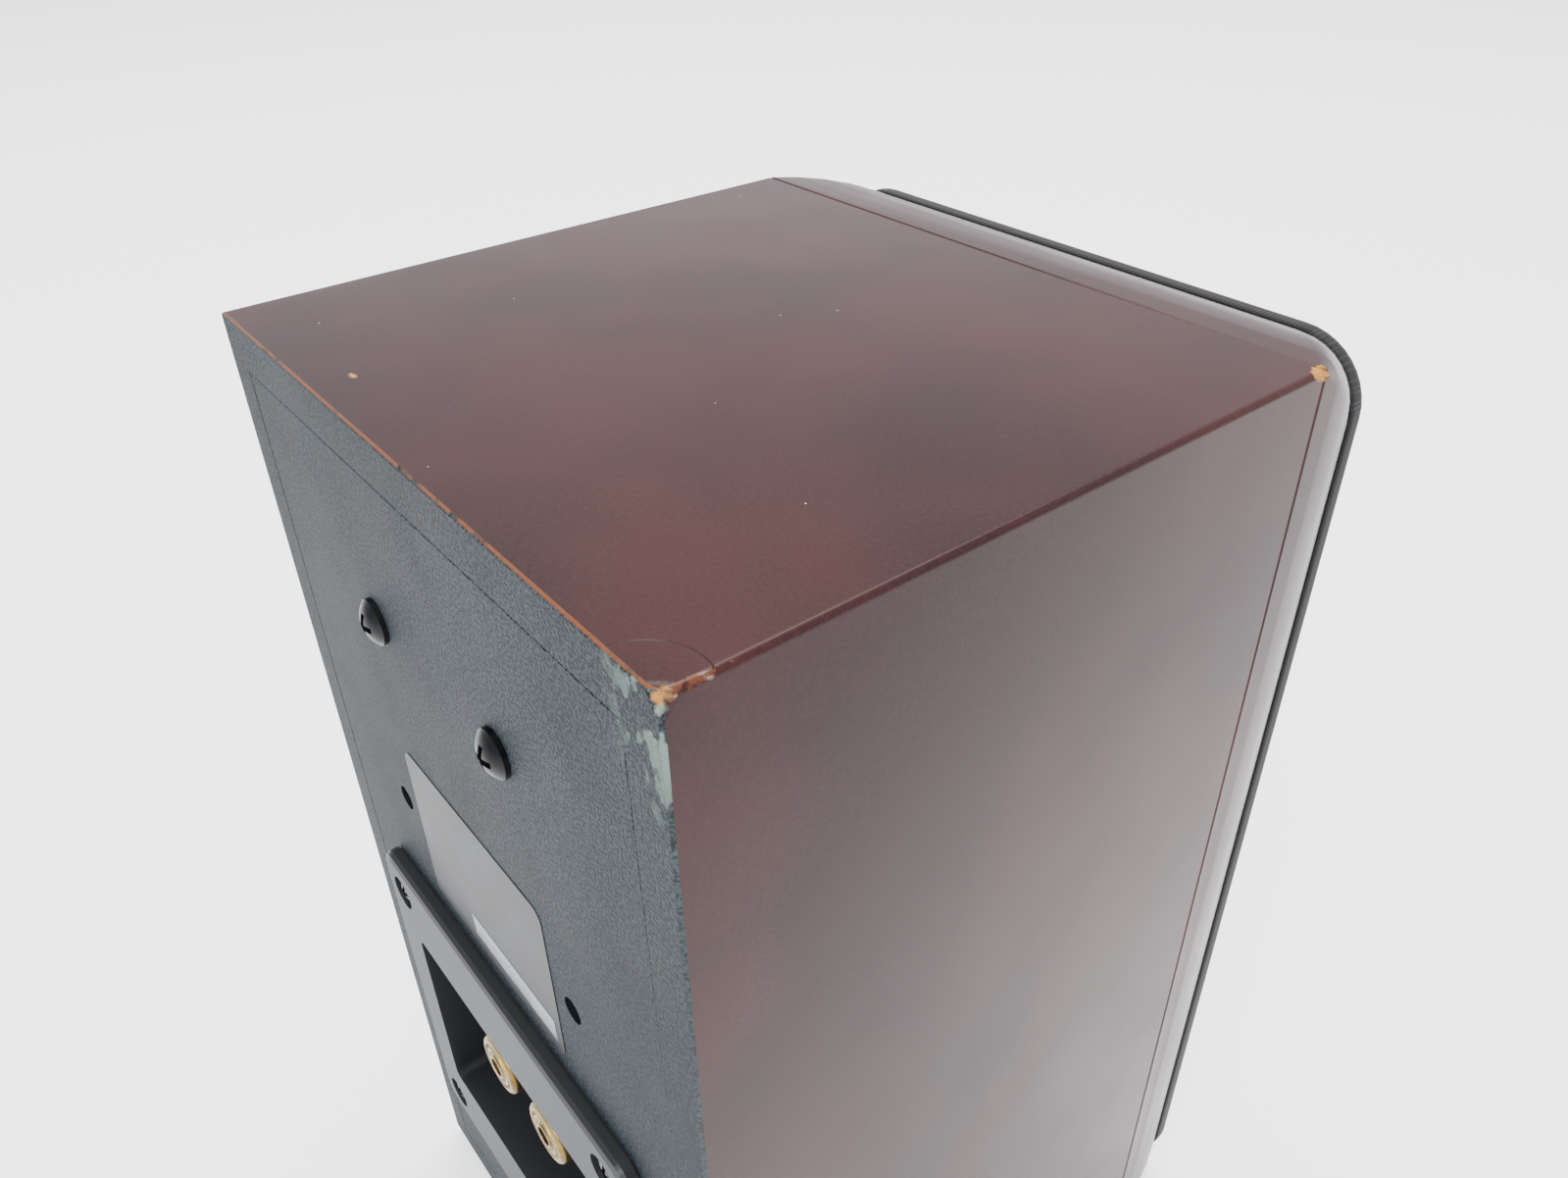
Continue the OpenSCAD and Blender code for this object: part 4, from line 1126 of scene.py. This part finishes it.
@dataclass
class Grille:
    """The pull-off grille: moulded frame and pegs, with cloth stretched over the front."""

    edge_mm: float = 2.4
    cloth_mm: float = 0.4
    corner_mm: float = 12.8
    edge_steps: int = 6
    insets_mm: tuple[float, ...] = (5.0, 9.0, 14.0, 22.0, 34.0, 48.0)
    sag_mm: float = 0.25

    def build(self) -> list[str]:
        """Dress the frame and make the cloth.

        Returns:
            The names of the pieces.
        """
        moulded = MouldedPlastic("moulded_black_grille_frame", "#17181a", "#0f1011", 0.5)
        hard = cad("grille_frame", "grille_pegs")
        moulded.dress(*hard)
        sockets = cad("grille_sockets")
        SoftRubber("rubber_peg_sockets").dress(*sockets)
        return [piece.name for piece in (*hard, *sockets, self.cloth())]

    def cloth(self) -> bpy.types.Object:
        """The cloth: a flat face that turns over a soft edge and runs back to the baffle.

        Returns:
            The new piece.
        """
        low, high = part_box("grille_cloth")
        centre = (low + high) / 2
        half_w, half_h = (high.x - low.x) / 2, (high.z - low.z) / 2
        edge = self.edge_mm * MM
        rows: list[tuple[float, float]] = [(0.0, high.y), (0.0, (high.y + low.y + edge) / 2)]
        for step in range(self.edge_steps + 1):
            angle = math.radians(90 * step / self.edge_steps)
            rows.append((edge * (1 - math.cos(angle)), low.y + edge * (1 - math.sin(angle))))
        rows += [(inset * MM, low.y + self.sag_mm * MM) for inset in self.insets_mm]
        mesh = bmesh.new()
        loops = []
        for inset, y in rows:
            radius = max(self.corner_mm * MM - inset, 1.5 * MM)
            outline = rounded_outline(half_w - inset, half_h - inset, radius)
            loops.append([mesh.verts.new((centre.x + x, y, centre.z + z)) for x, z in outline])
        join_loops(mesh, loops)
        mesh.faces.new(loops[-1])
        piece = new_piece("grille_cloth_stretched", mesh, 50.0)
        bpy.context.view_layer.objects.active = piece
        shell = piece.modifiers.new("thickness", "SOLIDIFY")
        shell.thickness = self.cloth_mm * MM
        shell.offset = -1.0
        bake_modifiers(piece)
        WovenCloth("stretched_polyester_grille_cloth").dress(piece)
        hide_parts("grille_cloth")
        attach(piece, Body.GRILLE.value)
        return piece


def bake_modifiers(piece: bpy.types.Object) -> None:
    """Replace a piece's mesh by what its modifiers make of it.

    Args:
        piece: The piece; its modifiers are cleared.
    """
    graph = bpy.context.evaluated_depsgraph_get()
    made = bpy.data.meshes.new_from_object(piece.evaluated_get(graph))
    piece.modifiers.clear()
    piece.data = made


# ---------- studio ----------


@dataclass
class Studio:
    """Camera, floor and soft lights; none of it is part of the speaker."""

    eye: Point = (-0.1441, 0.1136, 0.3086)
    look_at: Point = (-0.0139, 0.0123, 0.1955)
    roll_degrees: float = 1.22
    lens_mm: float = 28.07
    floor_size: float = 9.0
    floor_colour: str = "#f8f9fb"
    sky_colour: str = "#e9ebf1"
    sky_strength: float = 2.0

    def place_camera(self) -> None:
        """Put the camera near the rear corner and make it the scene's camera."""
        data = bpy.data.cameras.new("camera")
        data.lens = self.lens_mm
        data.sensor_width = 36.0
        data.clip_start = 0.005
        data.clip_end = 50.0
        camera = bpy.data.objects.new("camera", data)
        toward = Vector(self.look_at) - Vector(self.eye)
        turn = toward.to_track_quat("-Z", "Y").to_matrix().to_4x4()
        roll = Matrix.Rotation(math.radians(-self.roll_degrees), 4, "Z")
        camera.matrix_world = Matrix.Translation(self.eye) @ turn @ roll
        bpy.context.scene.collection.objects.link(camera)
        bpy.context.scene.camera = camera

    def lay_floor(self) -> None:
        """A wide pale floor under the speaker."""
        mesh = bmesh.new()
        bmesh.ops.create_grid(mesh, x_segments=2, y_segments=2, size=self.floor_size / 2)
        floor = new_piece("studio_floor", mesh)
        net = Net("matt_painted_floor")
        net.feed(net.surface, {"Base Color": linear(self.floor_colour), "Roughness": 0.9})
        floor.data.materials.append(net.material)

    def hang_light(self, name: str, at: Point, size: float, power: float, colour: str = "#ffffff") -> None:
        """Hang one square softbox that faces the speaker.

        Args:
            name: The light's name.
            at: Where it hangs, in metres.
            size: The side of the square.
            power: Its power in watts.
            colour: Its colour.
        """
        data = bpy.data.lights.new(name, "AREA")
        data.shape = "SQUARE"
        data.size = size
        data.energy = power
        data.color = linear(colour)[:3]
        light = bpy.data.objects.new(name, data)
        aim = (Vector((0.0, 0.0, 0.12)) - Vector(at)).to_track_quat("-Z", "Y")
        light.matrix_world = Matrix.Translation(at) @ aim.to_matrix().to_4x4()
        bpy.context.scene.collection.objects.link(light)

    def light(self) -> None:
        """A pale sky all round and two softboxes."""
        world = bpy.data.worlds.new("pale_room")
        world.use_nodes = True
        background = world.node_tree.nodes["Background"]
        background.inputs["Color"].default_value = linear(self.sky_colour)
        background.inputs["Strength"].default_value = self.sky_strength
        bpy.context.scene.world = world
        self.hang_light("key_softbox", (-1.2, 1.6, 2.2), 1.6, 150.0)
        self.hang_light("top_softbox", (0.6, -0.6, 2.6), 2.0, 140.0, "#fff6f0")

    def build(self) -> None:
        """Set up the studio."""
        self.place_camera()
        self.lay_floor()
        self.light()


def main() -> None:
    """Build every sub-assembly in order and report its pieces."""
    logging.basicConfig(level=logging.INFO, format="%(message)s")
    Studio().build()
    LOG.info("studio ready")
    parts: list[tuple[str, Callable[[], list[str]]]] = [
        ("cabinet", Cabinet().build),
        ("back fittings", BackFittings().build),
        ("crossover", Crossover().build),
        ("woofer", Woofer().build),
        ("tweeter and port", Tweeter().build),
        ("grille", Grille().build),
    ]
    for title, build in parts:
        for name in build():
            LOG.info("%s: %s", title, name)


if __name__ == "__main__":
    main()
